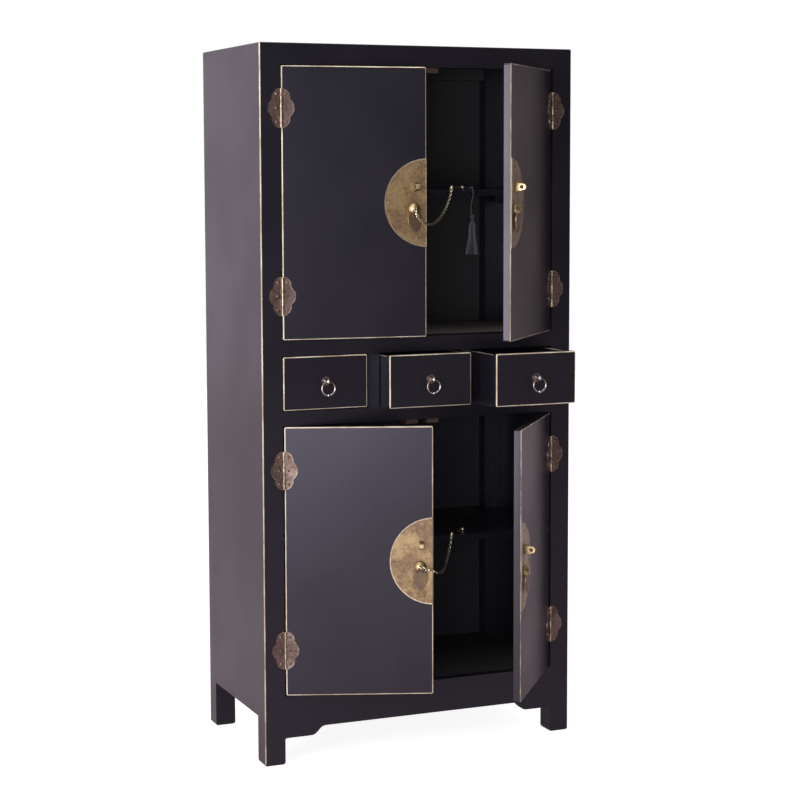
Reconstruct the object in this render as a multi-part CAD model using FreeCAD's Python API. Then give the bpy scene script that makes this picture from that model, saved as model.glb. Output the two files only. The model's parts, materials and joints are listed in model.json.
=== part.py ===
"""Lacquered side cabinet: two pairs of doors, three drawers between them, brass hinges, plates and lock pins.

Millimetres, Z up, front towards -Y. The origin is on the floor, under the middle of the carcass.
"""
import FreeCAD, Part
import math
import os
from FreeCAD import Vector

os.makedirs("parts", exist_ok=True)

# Carcass
WIDTH = 620.0
DEPTH = 335.0
HEIGHT = 1310.0
POST_WIDTH = 39.0
POST_DEPTH = 40.0
POST_ROUND = 3.0
TOP_THICKNESS = 18.0
TOP_ROUND = 1.5
SIDE_THICKNESS = 12.0
SIDE_CLEAR_OF_FLOOR = 87.0
BACK_THICKNESS = 6.0
BACK_RECESS = 6.0
BOARD_THICKNESS = 12.0
REAR_RAIL_DEPTH = 20.0
REAR_RAIL_HEIGHT = 28.0
RAIL_DEPTH = 40.0

# Heights of the front frame, from the floor up
BOTTOM_RAIL_HEIGHT = 34.0
BOTTOM_RAIL_TOP = 128.0
BOTTOM_RAIL_DEPTH = 20.0
LOWER_DOOR_HEIGHT = 494.0
LOWER_MID_RAIL_HEIGHT = 26.0
DRAWER_FRONT_HEIGHT = 97.5
UPPER_MID_RAIL_HEIGHT = 27.5
TOP_RAIL_HEIGHT = 20.5

# Apron under the bottom rail
APRON_THICKNESS = 18.0
APRON_HEIGHT = 28.0
APRON_BRACKET_DROP = 16.0
APRON_BRACKET_LENGTH = 50.0
APRON_CURVE_LENGTH = 30.0
APRON_COVE_RADIUS = 4.0

# Doors
DOOR_THICKNESS = 14.0
DOOR_GAP = 1.5
EDGE_ROUND = 1.5
UPPER_LEFT_ANGLE = 7.0
UPPER_RIGHT_ANGLE = 47.6
LOWER_LEFT_ANGLE = 20.5
LOWER_RIGHT_ANGLE = 52.0

# Hinges: cloud-shaped leaves on the faces, with a barrel in front of the gap
UPPER_HINGE_RISE = 79.5
UPPER_HINGE_DROP = 75.5
LOWER_HINGE_RISE = 84.5
LOWER_HINGE_DROP = 79.0
LEAF_THICKNESS = 1.2
LEAF_HALF_WIDTH = 24.8
LEAF_HALF_HEIGHT = 35.5
END_LOBE_RADIUS = 17.0
SIDE_LOBE_RADIUS = 19.0
BARREL_RADIUS = 2.2
BARREL_STANDOFF = 0.2
BARREL_LENGTH = 66.0
KNUCKLES = 5
KNUCKLE_GAP = 0.3
LEAF_CUTBACK = 0.4
HINGE_PIN_RADIUS = 1.0
HINGE_PIN_CLEARANCE = 0.05
HINGE_PIN_CAP = 1.2
NAIL_RADIUS = 2.4
NAIL_TOP_RADIUS = 1.2
NAIL_HEIGHT = 1.0
LEAF_NAIL_OFFSET = 8.4
LEAF_NAIL_SPACING = 24.7

# Half-moon lock plates and what sits on them
PLATE_RADIUS = 80.0
PLATE_THICKNESS = 1.6
PLATE_NAIL_RADIUS = 1.6
PLATE_NAIL_TOP_RADIUS = 0.8
PLATE_NAIL_HEIGHT = 0.6
PLATE_NAIL_SPACING = 64.0
PLATE_NAIL_INSET = 18.0
PLATE_OUTER_NAIL_INSET = 9.0
PLATE_MIDDLE_NAIL_INSET = 14.0
PLATE_MIDDLE_NAIL_RISE = 5.0
LUG_INSET = 22.5
LUG_RISE = 29.0
LUG_REACH = 20.0
LUG_WIDTH = 7.0
LUG_ROOT_HALF = 8.5
LUG_TIP_RADIUS = 6.0
LUG_HOLE_RADIUS = 3.5
LUG_HOLE_REACH = 12.5
BOSS_INSET = 24.5
BOSS_DROP = 11.0
BOSS_RADIUS = 11.5
BOSS_HEIGHT = 8.5
PIVOT_DROP = 3.0
PIVOT_REACH = 4.5
PIVOT_RADIUS = 1.2
PIVOT_CLEARANCE = 0.08
PIVOT_SEAT = 2.0
EYE_RADIUS = 2.6
EYE_WIDTH = 7.0
EYE_SIDE_CLEARANCE = 0.4
PULL_THICKNESS = 2.0
PULL_GAP = 1.2
PULL_RADIUS = 13.5
PULL_BELOW_BOSS = 17.0
PULL_SIDE_RADIUS = 29.0
PULL_TIP_RADIUS = 2.0

# Magnetic catches
CATCH_WIDTH = 24.0
CATCH_HEIGHT = 10.0
CATCH_DEPTH = 26.0
CATCH_INSET = 21.0
CATCH_RIGHT_OF_MIDDLE = 10.0
CATCH_GAP = 0.3
POLE_WIDTH = 22.0
POLE_HEIGHT = 2.4
POLE_DEPTH = 12.0
POLE_PROUD = 0.8
POLE_SPACING = 5.6
STRIKE_WIDTH = 16.0
STRIKE_HEIGHT = 13.0
STRIKE_THICKNESS = 1.0
STRIKE_BELOW_TOP = 2.0

# Shelves, each at a share of its compartment's height
UPPER_SHELF_SHARE = 0.546
LOWER_SHELF_SHARE = 0.535
SHELF_THICKNESS = 12.0
CLEAT_WIDTH = 12.0
CLEAT_HEIGHT = 18.0
CLEAT_LENGTH = 200.0

# Drawers
DIVIDER_WIDTH = 22.0
DRAWER_GAP = 1.5
DRAWER_FRONT_THICKNESS = 14.0
DRAWER_BACK_ROOM = 57.0
DRAWER_WALL = 9.0
DRAWER_SIDE_BELOW_TOP = 3.0
DRAWER_BOTTOM_THICKNESS = 4.0
DRAWER_BOTTOM_RISE = 5.0
DRAWER_RUN_CLEARANCE = 0.3
GUIDE_CLEARANCE = 0.5
GUIDE_HEIGHT = 20.0
DRAWER_PULLED_OUT = (0.0, 46.0, 101.0)

# Ring pulls of the drawers
PULL_RISE = 2.75
ROSETTE_RADIUS = 8.0
ROSETTE_THICKNESS = 2.0
NECK_RADIUS = 2.8
BALL_RADIUS = 4.6
BALL_REACH = 14.5
RING_RADIUS = 12.5
RING_WIRE_RADIUS = 1.8
RING_HOLE_CLEARANCE = 0.85
RING_BEAD_RADIUS = 2.8

# Lock pins on their chains, and the tassel
LOCK_PIN_RADIUS = 3.0
LOCK_PIN_LENGTH = 64.0
LOCK_PIN_HEADING = 45.0
LOCK_PIN_HEAD_RADIUS = 4.4
LOCK_PIN_CLEARANCE = 0.3
LOCK_PIN_OVERHANG = 6.0
LOCK_PIN_RIGHT_OF_MIDDLE = 78.0
CHAIN_RADIUS = 2.75
TASSEL_CORD_RADIUS = 1.0
TASSEL_KNOT_RADIUS = 4.0
TASSEL_NECK_RADIUS = 3.0
TASSEL_NECK_LENGTH = 5.0
TASSEL_TOP_RADIUS = 6.5
TASSEL_SHOULDER = 4.0
TASSEL_SKIRT_LENGTH = 62.0
TASSEL_SKIRT_RADIUS = 13.5

# Overrun of every cut, and how close two places count as the same
OVERRUN = 5.0
SAME_PLACE = 0.001

# Routes of the limp lines, chosen by hand at the cabinet's real size
UPPER_CHAIN_ROUTE = [
    (-29.0, -208.4, 1017.0), (-26.2, -210.8, 1000.8), (-16.0, -210.8, 990.7), (-3.3, -209.5, 984.9),
    (11.2, -199.0, 985.8), (31.0, -181.0, 993.0), (46.0, -165.5, 1003.5), (59.5, -152.5, 1017.5),
    (70.5, -141.0, 1033.0), (77.5, -134.5, 1049.0)]
LOWER_CHAIN_ROUTE = [
    (-43.0, -263.9, 368.0), (-33.0, -269.3, 362.0), (-22.0, -273.5, 359.5), (-10.0, -272.5, 356.0),
    (0.0, -259.5, 353.2), (10.5, -241.5, 351.0), (22.5, -221.5, 350.3), (35.0, -200.5, 352.0),
    (47.0, -180.0, 355.8), (58.0, -161.5, 362.0), (68.5, -146.0, 373.5), (77.3, -134.5, 395.0)]
TASSEL_CORD_ROUTE = [
    (121.5, -93.6, 1051.3), (126.5, -101.5, 1050.5), (128.0, -111.5, 1050.3), (125.0, -121.5, 1052.6),
    (122.0, -130.5, 1052.4), (121.0, -135.5, 1046.2), (121.8, -136.0, 1036.0), (118.5, -136.0, 1026.0),
    (116.2, -136.3, 1015.5), (117.0, -136.0, 1006.0), (119.4, -136.2, 997.0)]
ARC_SHARE = 0.45

# The cove between apron and leg stops short of a feather edge: shares of its radius
COVE_DROP_SHARE = 0.8
COVE_BEND_SHARE = 0.27

# Places worked out from the sizes above
LEFT = -WIDTH / 2
RIGHT = WIDTH / 2
FRONT = -DEPTH / 2
BACK = DEPTH / 2
POST_TOP = HEIGHT - TOP_THICKNESS
INNER_LEFT = LEFT + POST_WIDTH
INNER_RIGHT = RIGHT - POST_WIDTH
BEHIND_POST = FRONT + POST_DEPTH
REAR_POST_FRONT = BACK - POST_DEPTH
BACK_PANEL_FRONT = BACK - BACK_RECESS - BACK_THICKNESS
BEHIND_RAIL = FRONT + RAIL_DEPTH
BOTTOM_RAIL_BOTTOM = BOTTOM_RAIL_TOP - BOTTOM_RAIL_HEIGHT
LOWER_DOOR_BOTTOM = BOTTOM_RAIL_TOP + DOOR_GAP
LOWER_DOOR_TOP = LOWER_DOOR_BOTTOM + LOWER_DOOR_HEIGHT
LOWER_MID_RAIL_BOTTOM = LOWER_DOOR_TOP + DOOR_GAP
DECK_TOP = LOWER_MID_RAIL_BOTTOM + LOWER_MID_RAIL_HEIGHT
DRAWER_FRONT_BOTTOM = DECK_TOP + DRAWER_GAP
DRAWER_FRONT_TOP = DRAWER_FRONT_BOTTOM + DRAWER_FRONT_HEIGHT
UPPER_MID_RAIL_BOTTOM = DRAWER_FRONT_TOP + DRAWER_GAP
UPPER_FLOOR_TOP = UPPER_MID_RAIL_BOTTOM + UPPER_MID_RAIL_HEIGHT
UPPER_DOOR_BOTTOM = UPPER_FLOOR_TOP + DOOR_GAP
TOP_RAIL_BOTTOM = POST_TOP - TOP_RAIL_HEIGHT
UPPER_DOOR_TOP = TOP_RAIL_BOTTOM - DOOR_GAP
UPPER_SHELF_TOP = UPPER_FLOOR_TOP + UPPER_SHELF_SHARE * (TOP_RAIL_BOTTOM - UPPER_FLOOR_TOP)
LOWER_SHELF_TOP = BOTTOM_RAIL_TOP + LOWER_SHELF_SHARE * (LOWER_MID_RAIL_BOTTOM - BOTTOM_RAIL_TOP)
DOOR_HINGE_EDGE = INNER_LEFT + DOOR_GAP
DOOR_FREE_EDGE = -DOOR_GAP / 2
DOOR_INNER_FACE = FRONT + DOOR_THICKNESS
HINGE_X = INNER_LEFT + DOOR_GAP / 2
HINGE_Y = FRONT - BARREL_RADIUS - BARREL_STANDOFF
PLATE_FACE = FRONT - PLATE_THICKNESS
DRAWER_OPENING = (INNER_RIGHT - INNER_LEFT - 2 * DIVIDER_WIDTH) / 3
DRAWER_PITCH = DRAWER_OPENING + DIVIDER_WIDTH
DRAWER_WIDTH = DRAWER_OPENING - 2 * DRAWER_GAP

UP = Vector(0, 0, 1)
BACKWARDS = Vector(0, 1, 0)
SIDEWAYS = Vector(1, 0, 0)
FULL_TURN = 360


def save(node, *solids):
    """Writes one node, as one solid or as a group of separate solids."""
    shape = solids[0] if len(solids) == 1 else Part.makeCompound(list(solids))
    shape.exportStep("parts/" + node + ".step")


def block(x0, x1, y0, y1, z0, z1):
    return Part.makeBox(x1 - x0, y1 - y0, z1 - z0, Vector(x0, y0, z0))


def rod(radius, start, end):
    """Round bar from one point to another."""
    return Part.makeCylinder(radius, (end - start).Length, start, end - start)


def mirrored(shape):
    """The same piece on the other side of the cabinet's middle."""
    return shape.mirror(Vector(0, 0, 0), SIDEWAYS)


def both_sides(shape):
    return [shape, mirrored(shape)]


def edges_where(shape, test):
    """The edges of a shape whose corners all pass a test."""
    return [e for e in shape.Edges if all(test(v.Point) for v in e.Vertexes)]


def near(a, b):
    return abs(a - b) < SAME_PLACE


def rounded_front(panel, radius):
    """Eases the edges round the front face of a flat panel."""
    front = panel.BoundBox.YMin
    return panel.makeFillet(radius, edges_where(panel, lambda p: near(p.y, front)))


def turned(shape, hinge_x, degrees):
    """A door's piece, turned about the door's hinge line."""
    copy = shape.copy()
    copy.rotate(Vector(hinge_x, HINGE_Y, 0), UP, degrees)
    return copy


def nail(x, y, z, radius=NAIL_RADIUS, top_radius=NAIL_TOP_RADIUS, height=NAIL_HEIGHT):
    """Round-headed nail on a face that looks to the front."""
    return Part.makeCone(radius, top_radius, height, Vector(x, y, z), BACKWARDS * -1)


def posts():
    """Corner posts whose lower ends are the legs."""
    front = block(LEFT, INNER_LEFT, FRONT, BEHIND_POST, 0, POST_TOP)
    outer = edges_where(front, lambda p: near(p.x, LEFT) and near(p.y, FRONT))
    front = front.makeFillet(POST_ROUND, outer)
    rear = block(LEFT, INNER_LEFT, REAR_POST_FRONT, BACK, 0, POST_TOP)
    outer = edges_where(rear, lambda p: near(p.x, LEFT) and near(p.y, BACK))
    rear = rear.makeFillet(POST_ROUND, outer)
    save("front_posts", *both_sides(front))
    save("rear_posts", *both_sides(rear))


def walls():
    """Side panels between the posts, back panel with its rails, and the top board."""
    side = block(LEFT, LEFT + SIDE_THICKNESS, BEHIND_POST, REAR_POST_FRONT, SIDE_CLEAR_OF_FLOOR, POST_TOP)
    save("side_panels", *both_sides(side))
    back_end = BACK_PANEL_FRONT + BACK_THICKNESS
    back = block(INNER_LEFT, INNER_RIGHT, BACK_PANEL_FRONT, back_end, SIDE_CLEAR_OF_FLOOR, POST_TOP)
    save("back_panel", back)
    rail_front = BACK_PANEL_FRONT - REAR_RAIL_DEPTH
    board_under = BOTTOM_RAIL_TOP - BOARD_THICKNESS
    rails = [block(INNER_LEFT, INNER_RIGHT, rail_front, BACK_PANEL_FRONT, top - REAR_RAIL_HEIGHT, top)
             for top in (board_under, POST_TOP)]
    save("rear_rails", *rails)
    top = block(LEFT, RIGHT, FRONT, BACK, POST_TOP, HEIGHT)
    top = top.makeFillet(POST_ROUND, [e for e in top.Edges if near(e.Length, TOP_THICKNESS)])
    top = top.makeFillet(TOP_ROUND, edges_where(top, lambda p: near(p.z, HEIGHT)))
    save("top_panel", top)


def front_rail(node, bottom, top, depth):
    save(node, block(INNER_LEFT, INNER_RIGHT, FRONT, FRONT + depth, bottom, top))


def front_frame():
    """Rails between the front posts, with the shaped apron and the drawer dividers."""
    front_rail("top_rail", TOP_RAIL_BOTTOM, POST_TOP, RAIL_DEPTH)
    front_rail("upper_mid_rail", UPPER_MID_RAIL_BOTTOM, UPPER_FLOOR_TOP, RAIL_DEPTH)
    front_rail("lower_mid_rail", LOWER_MID_RAIL_BOTTOM, DECK_TOP, RAIL_DEPTH)
    front_rail("bottom_rail", BOTTOM_RAIL_BOTTOM, BOTTOM_RAIL_TOP, BOTTOM_RAIL_DEPTH)
    left_end = -DRAWER_PITCH / 2 - DIVIDER_WIDTH / 2
    divider = block(left_end, left_end + DIVIDER_WIDTH, FRONT, BEHIND_RAIL, DECK_TOP, UPPER_MID_RAIL_BOTTOM)
    save("drawer_dividers", *both_sides(divider))
    save("front_apron", apron())


def apron():
    """Board with straight brackets at its ends, each running up to the middle in an S-shaped curve."""
    middle = BOTTOM_RAIL_BOTTOM - APRON_HEIGHT
    bracket = middle - APRON_BRACKET_DROP
    curve_start = INNER_LEFT + APRON_BRACKET_LENGTH
    curve_end = curve_start + APRON_CURVE_LENGTH

    def at(x, z):
        return Vector(x, FRONT, z)

    def s_curve(side):
        poles = [at(side * curve_start, bracket), at(side * (curve_start + curve_end) / 2, bracket),
                 at(side * (curve_start + curve_end) / 2, middle), at(side * curve_end, middle)]
        curve = Part.BezierCurve()
        curve.setPoles(poles)
        return curve.toShape()

    cove_end = INNER_LEFT + APRON_COVE_RADIUS
    cove_low = bracket - APRON_COVE_RADIUS * COVE_DROP_SHARE

    def cove(side):
        bend = at(side * (INNER_LEFT + APRON_COVE_RADIUS * COVE_BEND_SHARE),
                  bracket - APRON_COVE_RADIUS * COVE_BEND_SHARE)
        return Part.Arc(at(side * INNER_LEFT, cove_low), bend, at(side * cove_end, bracket)).toShape()

    edges = [Part.makeLine(at(INNER_LEFT, BOTTOM_RAIL_BOTTOM), at(INNER_LEFT, cove_low)),
             cove(1),
             Part.makeLine(at(cove_end, bracket), at(curve_start, bracket)),
             s_curve(1),
             Part.makeLine(at(curve_end, middle), at(-curve_end, middle)),
             s_curve(-1),
             Part.makeLine(at(-curve_start, bracket), at(-cove_end, bracket)),
             cove(-1),
             Part.makeLine(at(INNER_RIGHT, cove_low), at(INNER_RIGHT, BOTTOM_RAIL_BOTTOM)),
             Part.makeLine(at(INNER_RIGHT, BOTTOM_RAIL_BOTTOM), at(INNER_LEFT, BOTTOM_RAIL_BOTTOM))]
    outline = Part.Wire(Part.__sortEdges__(edges))
    return Part.Face(outline).extrude(BACKWARDS * APRON_THICKNESS)


def level_board(top, thickness, front):
    """Board from wall to wall, notched round the posts."""
    between_posts = block(INNER_LEFT, INNER_RIGHT, front, BACK_PANEL_FRONT, top - thickness, top)
    wall = LEFT + SIDE_THICKNESS
    between_walls = block(wall, -wall, BEHIND_POST, REAR_POST_FRONT, top - thickness, top)
    return between_posts.fuse(between_walls).removeSplitter()


def boards():
    """Floors of the compartments, the deck under the drawers, the shelves and their cleats."""
    save("bottom_board", level_board(BOTTOM_RAIL_TOP, BOARD_THICKNESS, FRONT + BOTTOM_RAIL_DEPTH))
    save("drawer_deck", level_board(DECK_TOP, BOARD_THICKNESS, BEHIND_RAIL))
    save("upper_floor", level_board(UPPER_FLOOR_TOP, BOARD_THICKNESS, BEHIND_RAIL))
    cleats = []
    for node, top in (("upper_shelf", UPPER_SHELF_TOP), ("lower_shelf", LOWER_SHELF_TOP)):
        save(node, level_board(top, SHELF_THICKNESS, BEHIND_POST))
        under = top - SHELF_THICKNESS
        wall = LEFT + SIDE_THICKNESS
        middle = (BEHIND_POST + REAR_POST_FRONT) / 2
        half = CLEAT_LENGTH / 2
        cleat = block(wall, wall + CLEAT_WIDTH, middle - half, middle + half, under - CLEAT_HEIGHT, under)
        cleats += both_sides(cleat)
    save("shelf_cleats", *cleats)


def drawer_guides():
    """Strips on the deck that keep each drawer straight."""
    drawer_side = DRAWER_PITCH / 2 + DRAWER_PITCH - DIVIDER_WIDTH / 2 - DRAWER_GAP
    front = max(BEHIND_RAIL, BEHIND_POST)
    outer = block(LEFT + SIDE_THICKNESS, -drawer_side - GUIDE_CLEARANCE,
                  front, REAR_POST_FRONT, DECK_TOP, DECK_TOP + GUIDE_HEIGHT)
    half = DIVIDER_WIDTH / 2 + DRAWER_GAP - GUIDE_CLEARANCE
    middle = -DRAWER_PITCH / 2
    inner = block(middle - half, middle + half, BEHIND_RAIL, REAR_POST_FRONT,
                  DECK_TOP, DECK_TOP + GUIDE_HEIGHT)
    save("drawer_guides", *both_sides(outer), *both_sides(inner))


def magnet_catches():
    """Catches under the rails: a housing with two steel poles in slots in its front."""
    solids = []
    front = DOOR_INNER_FACE + STRIKE_THICKNESS + CATCH_GAP + POLE_PROUD
    pole_front = front - POLE_PROUD
    middles = (CATCH_RIGHT_OF_MIDDLE - CATCH_INSET, CATCH_RIGHT_OF_MIDDLE + CATCH_INSET)
    for rail_bottom in (TOP_RAIL_BOTTOM, LOWER_MID_RAIL_BOTTOM):
        bottom = rail_bottom - CATCH_HEIGHT
        for x in middles:
            half = CATCH_WIDTH / 2
            housing = block(x - half, x + half, front, front + CATCH_DEPTH, bottom, rail_bottom)
            for side in (-1, 1):
                level = bottom + CATCH_HEIGHT / 2 + side * POLE_SPACING / 2
                pole = block(x - POLE_WIDTH / 2, x + POLE_WIDTH / 2, pole_front, pole_front + POLE_DEPTH,
                             level - POLE_HEIGHT / 2, level + POLE_HEIGHT / 2)
                housing = housing.cut(pole)
                solids.append(pole)
            solids.append(housing)
    save("magnet_catches", *solids)


def hinge_levels(bottom, top):
    """Middle of a door's lower and upper hinge."""
    if bottom < UPPER_DOOR_BOTTOM:
        return (bottom + LOWER_HINGE_RISE, top - LOWER_HINGE_DROP)
    return (bottom + UPPER_HINGE_RISE, top - UPPER_HINGE_DROP)


def knuckle_spans(level):
    """Bottom and top of each knuckle of a hinge's barrel."""
    length = BARREL_LENGTH / KNUCKLES
    low = level - BARREL_LENGTH / 2
    gap = KNUCKLE_GAP / 2
    return [(low + i * length + gap, low + (i + 1) * length - gap) for i in range(KNUCKLES)]


def hinge_leaf(level, side):
    """Leaf of a left-hand hinge: side 1 lies on the door, side -1 on the post."""
    face = FRONT - LEAF_THICKNESS

    def lobe(radius, offset, rise):
        centre = Vector(HINGE_X + side * offset, face, level + rise)
        return Part.makeCylinder(radius, LEAF_THICKNESS, centre, BACKWARDS)

    end_rise = LEAF_HALF_HEIGHT - END_LOBE_RADIUS
    leaf = lobe(SIDE_LOBE_RADIUS, LEAF_HALF_WIDTH - SIDE_LOBE_RADIUS, 0)
    leaf = leaf.fuse([lobe(END_LOBE_RADIUS, 0, end_rise), lobe(END_LOBE_RADIUS, 0, -end_rise)])

    def strip(reach_in, reach_out, low, high):
        x = sorted((HINGE_X + side * reach_in, HINGE_X + side * reach_out))
        return block(x[0], x[1], HINGE_Y - BARREL_RADIUS - OVERRUN, FRONT + OVERRUN, low, high)

    half = LEAF_HALF_HEIGHT + OVERRUN
    inner = BARREL_RADIUS + LEAF_CUTBACK
    plate = leaf.common(strip(inner, LEAF_HALF_WIDTH + OVERRUN, level - half, level + half))
    own = 1 if side > 0 else 0
    knuckles = []
    for low, high in knuckle_spans(level)[own::2]:
        knuckles.append(rod(BARREL_RADIUS, Vector(HINGE_X, HINGE_Y, low), Vector(HINGE_X, HINGE_Y, high)))
        knuckles.append(leaf.common(strip(DOOR_GAP / 2, inner, low, high)))
    leaf = plate.fuse(knuckles)
    bore = rod(HINGE_PIN_RADIUS + HINGE_PIN_CLEARANCE, Vector(HINGE_X, HINGE_Y, level - half),
               Vector(HINGE_X, HINGE_Y, level + half))
    leaf = leaf.cut(bore).removeSplitter()
    nails = [nail(HINGE_X + side * LEAF_NAIL_OFFSET, face, level + i * LEAF_NAIL_SPACING) for i in (-1, 0, 1)]
    return [leaf] + nails


def hinge_pin(level):
    """Pin through the barrel, with a cap at each end."""
    half = BARREL_LENGTH / 2 - KNUCKLE_GAP / 2
    low = Vector(HINGE_X, HINGE_Y, level - half)
    high = Vector(HINGE_X, HINGE_Y, level + half)
    cap = UP * HINGE_PIN_CAP
    caps = [rod(BARREL_RADIUS, low - cap, low), rod(BARREL_RADIUS, high, high + cap)]
    return rod(HINGE_PIN_RADIUS, low - cap, high + cap).fuse(caps).removeSplitter()


def frame_hinges():
    """The halves of the hinges that stay on the posts."""
    leaves = []
    pins = []
    for bottom, top in ((UPPER_DOOR_BOTTOM, UPPER_DOOR_TOP), (LOWER_DOOR_BOTTOM, LOWER_DOOR_TOP)):
        for level in hinge_levels(bottom, top):
            for solid in hinge_leaf(level, -1):
                leaves += both_sides(solid)
            pins += both_sides(hinge_pin(level))
    save("frame_hinge_leaves", *leaves)
    save("hinge_pins", *pins)


def lock_plate(middle):
    """Half-moon plate against the door's free edge, with its nails."""
    disc = Part.makeCylinder(PLATE_RADIUS, PLATE_THICKNESS, Vector(0, PLATE_FACE, middle), BACKWARDS)
    reach = PLATE_RADIUS + OVERRUN
    half = block(-reach, DOOR_FREE_EDGE, PLATE_FACE - OVERRUN, FRONT + OVERRUN,
                 middle - reach, middle + reach)
    places = [(PLATE_NAIL_INSET, PLATE_NAIL_SPACING), (PLATE_NAIL_INSET, -PLATE_NAIL_SPACING),
              (PLATE_MIDDLE_NAIL_INSET, PLATE_MIDDLE_NAIL_RISE), (PLATE_RADIUS - PLATE_OUTER_NAIL_INSET, 0)]
    head = (PLATE_NAIL_RADIUS, PLATE_NAIL_TOP_RADIUS, PLATE_NAIL_HEIGHT)
    nails = [nail(-inset, PLATE_FACE, middle + rise, *head) for inset, rise in places]
    return [disc.common(half)] + nails


def lug(middle):
    """Flat lug with a hole for the lock pin."""
    x = -LUG_INSET - LUG_WIDTH / 2
    z = middle + LUG_RISE
    tip = LUG_REACH - LUG_TIP_RADIUS

    def at(reach, rise):
        return Vector(x, PLATE_FACE - reach, z + rise)

    arc = Part.Arc(at(tip, LUG_TIP_RADIUS), at(LUG_REACH, 0), at(tip, -LUG_TIP_RADIUS))
    edges = [Part.makeLine(at(0, LUG_ROOT_HALF), at(tip, LUG_TIP_RADIUS)), arc.toShape(),
             Part.makeLine(at(tip, -LUG_TIP_RADIUS), at(0, -LUG_ROOT_HALF)),
             Part.makeLine(at(0, -LUG_ROOT_HALF), at(0, LUG_ROOT_HALF))]
    body = Part.Face(Part.Wire(edges)).extrude(SIDEWAYS * LUG_WIDTH)
    hole = at(LUG_HOLE_REACH, 0)
    return body.cut(rod(LUG_HOLE_RADIUS, hole - SIDEWAYS * OVERRUN, hole + SIDEWAYS * (LUG_WIDTH + OVERRUN)))


def pivot_point(middle):
    return Vector(-BOSS_INSET, PLATE_FACE - PIVOT_REACH, middle - BOSS_DROP - PIVOT_DROP)


def boss_sphere(middle):
    """Radius and centre of the sphere that the boss is cut from."""
    sphere_radius = (BOSS_RADIUS ** 2 + BOSS_HEIGHT ** 2) / (2 * BOSS_HEIGHT)
    return sphere_radius, Vector(-BOSS_INSET, PLATE_FACE - BOSS_HEIGHT + sphere_radius, middle - BOSS_DROP)


def boss(middle):
    """Dome slotted for the drop pull, with the pull's pivot across the slot."""
    sphere_radius, centre = boss_sphere(middle)
    reach = sphere_radius + OVERRUN
    in_front = block(centre.x - reach, centre.x + reach, PLATE_FACE - reach, PLATE_FACE,
                     centre.z - reach, centre.z + reach)
    dome = Part.makeSphere(sphere_radius, centre).common(in_front)
    pivot = pivot_point(middle)
    slot_half = EYE_WIDTH / 2 + EYE_SIDE_CLEARANCE
    slot = block(pivot.x - slot_half, pivot.x + slot_half, PLATE_FACE - reach, PLATE_FACE + OVERRUN,
                 centre.z - reach, pivot.z + EYE_RADIUS + EYE_SIDE_CLEARANCE)
    along = SIDEWAYS * (slot_half + PIVOT_SEAT)
    return dome.cut(slot).fuse(rod(PIVOT_RADIUS, pivot - along, pivot + along)).removeSplitter()


def strike(top, is_left):
    """Steel plate on the inner face, where the catch holds the door; the pair sits a little to the right."""
    inset = CATCH_INSET + (-CATCH_RIGHT_OF_MIDDLE if is_left else CATCH_RIGHT_OF_MIDDLE)
    left = -inset - STRIKE_WIDTH / 2
    high = top - STRIKE_BELOW_TOP
    return block(left, left + STRIKE_WIDTH, DOOR_INNER_FACE, DOOR_INNER_FACE + STRIKE_THICKNESS,
                 high - STRIKE_HEIGHT, high)


def drop_pull(middle):
    """Leaf-shaped drop that hangs from the boss, cut out round the dome, and lifts outwards."""
    pivot = pivot_point(middle)
    back = pivot.y + PULL_THICKNESS / 2
    drop_middle = middle - BOSS_DROP - PULL_BELOW_BOSS
    # Each side is an arc about a point level with the drop's middle; a small arc closes the tip
    offset = PULL_SIDE_RADIUS - PULL_RADIUS
    tip_drop = math.sqrt((PULL_SIDE_RADIUS - PULL_TIP_RADIUS) ** 2 - offset ** 2)
    tip_angle = math.atan2(tip_drop, offset)

    def on_side(side, angle):
        return Vector(pivot.x + side * (PULL_SIDE_RADIUS * math.cos(angle) - offset), back,
                      drop_middle - PULL_SIDE_RADIUS * math.sin(angle))

    top = Vector(pivot.x, back, drop_middle + PULL_RADIUS)
    tip = Vector(pivot.x, back, drop_middle - tip_drop - PULL_TIP_RADIUS)
    edges = [Part.Arc(on_side(-1, 0), top, on_side(1, 0)).toShape(),
             Part.Arc(on_side(1, 0), on_side(1, tip_angle / 2), on_side(1, tip_angle)).toShape(),
             Part.Arc(on_side(1, tip_angle), tip, on_side(-1, tip_angle)).toShape(),
             Part.Arc(on_side(-1, tip_angle), on_side(-1, tip_angle / 2), on_side(-1, 0)).toShape()]
    drop = Part.Face(Part.Wire(edges)).extrude(BACKWARDS * -PULL_THICKNESS)
    sphere_radius, centre = boss_sphere(middle)
    drop = drop.cut(Part.makeSphere(sphere_radius + PULL_GAP, centre))
    half = EYE_WIDTH / 2
    neck = block(pivot.x - half, pivot.x + half, back - PULL_THICKNESS, back, drop_middle, pivot.z)
    eye = rod(EYE_RADIUS, pivot - SIDEWAYS * half, pivot + SIDEWAYS * half)
    reach = SIDEWAYS * (half + OVERRUN)
    bore = rod(PIVOT_RADIUS + PIVOT_CLEARANCE, pivot - reach, pivot + reach)
    return drop.fuse([neck, eye]).removeSplitter().cut(bore)


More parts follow.
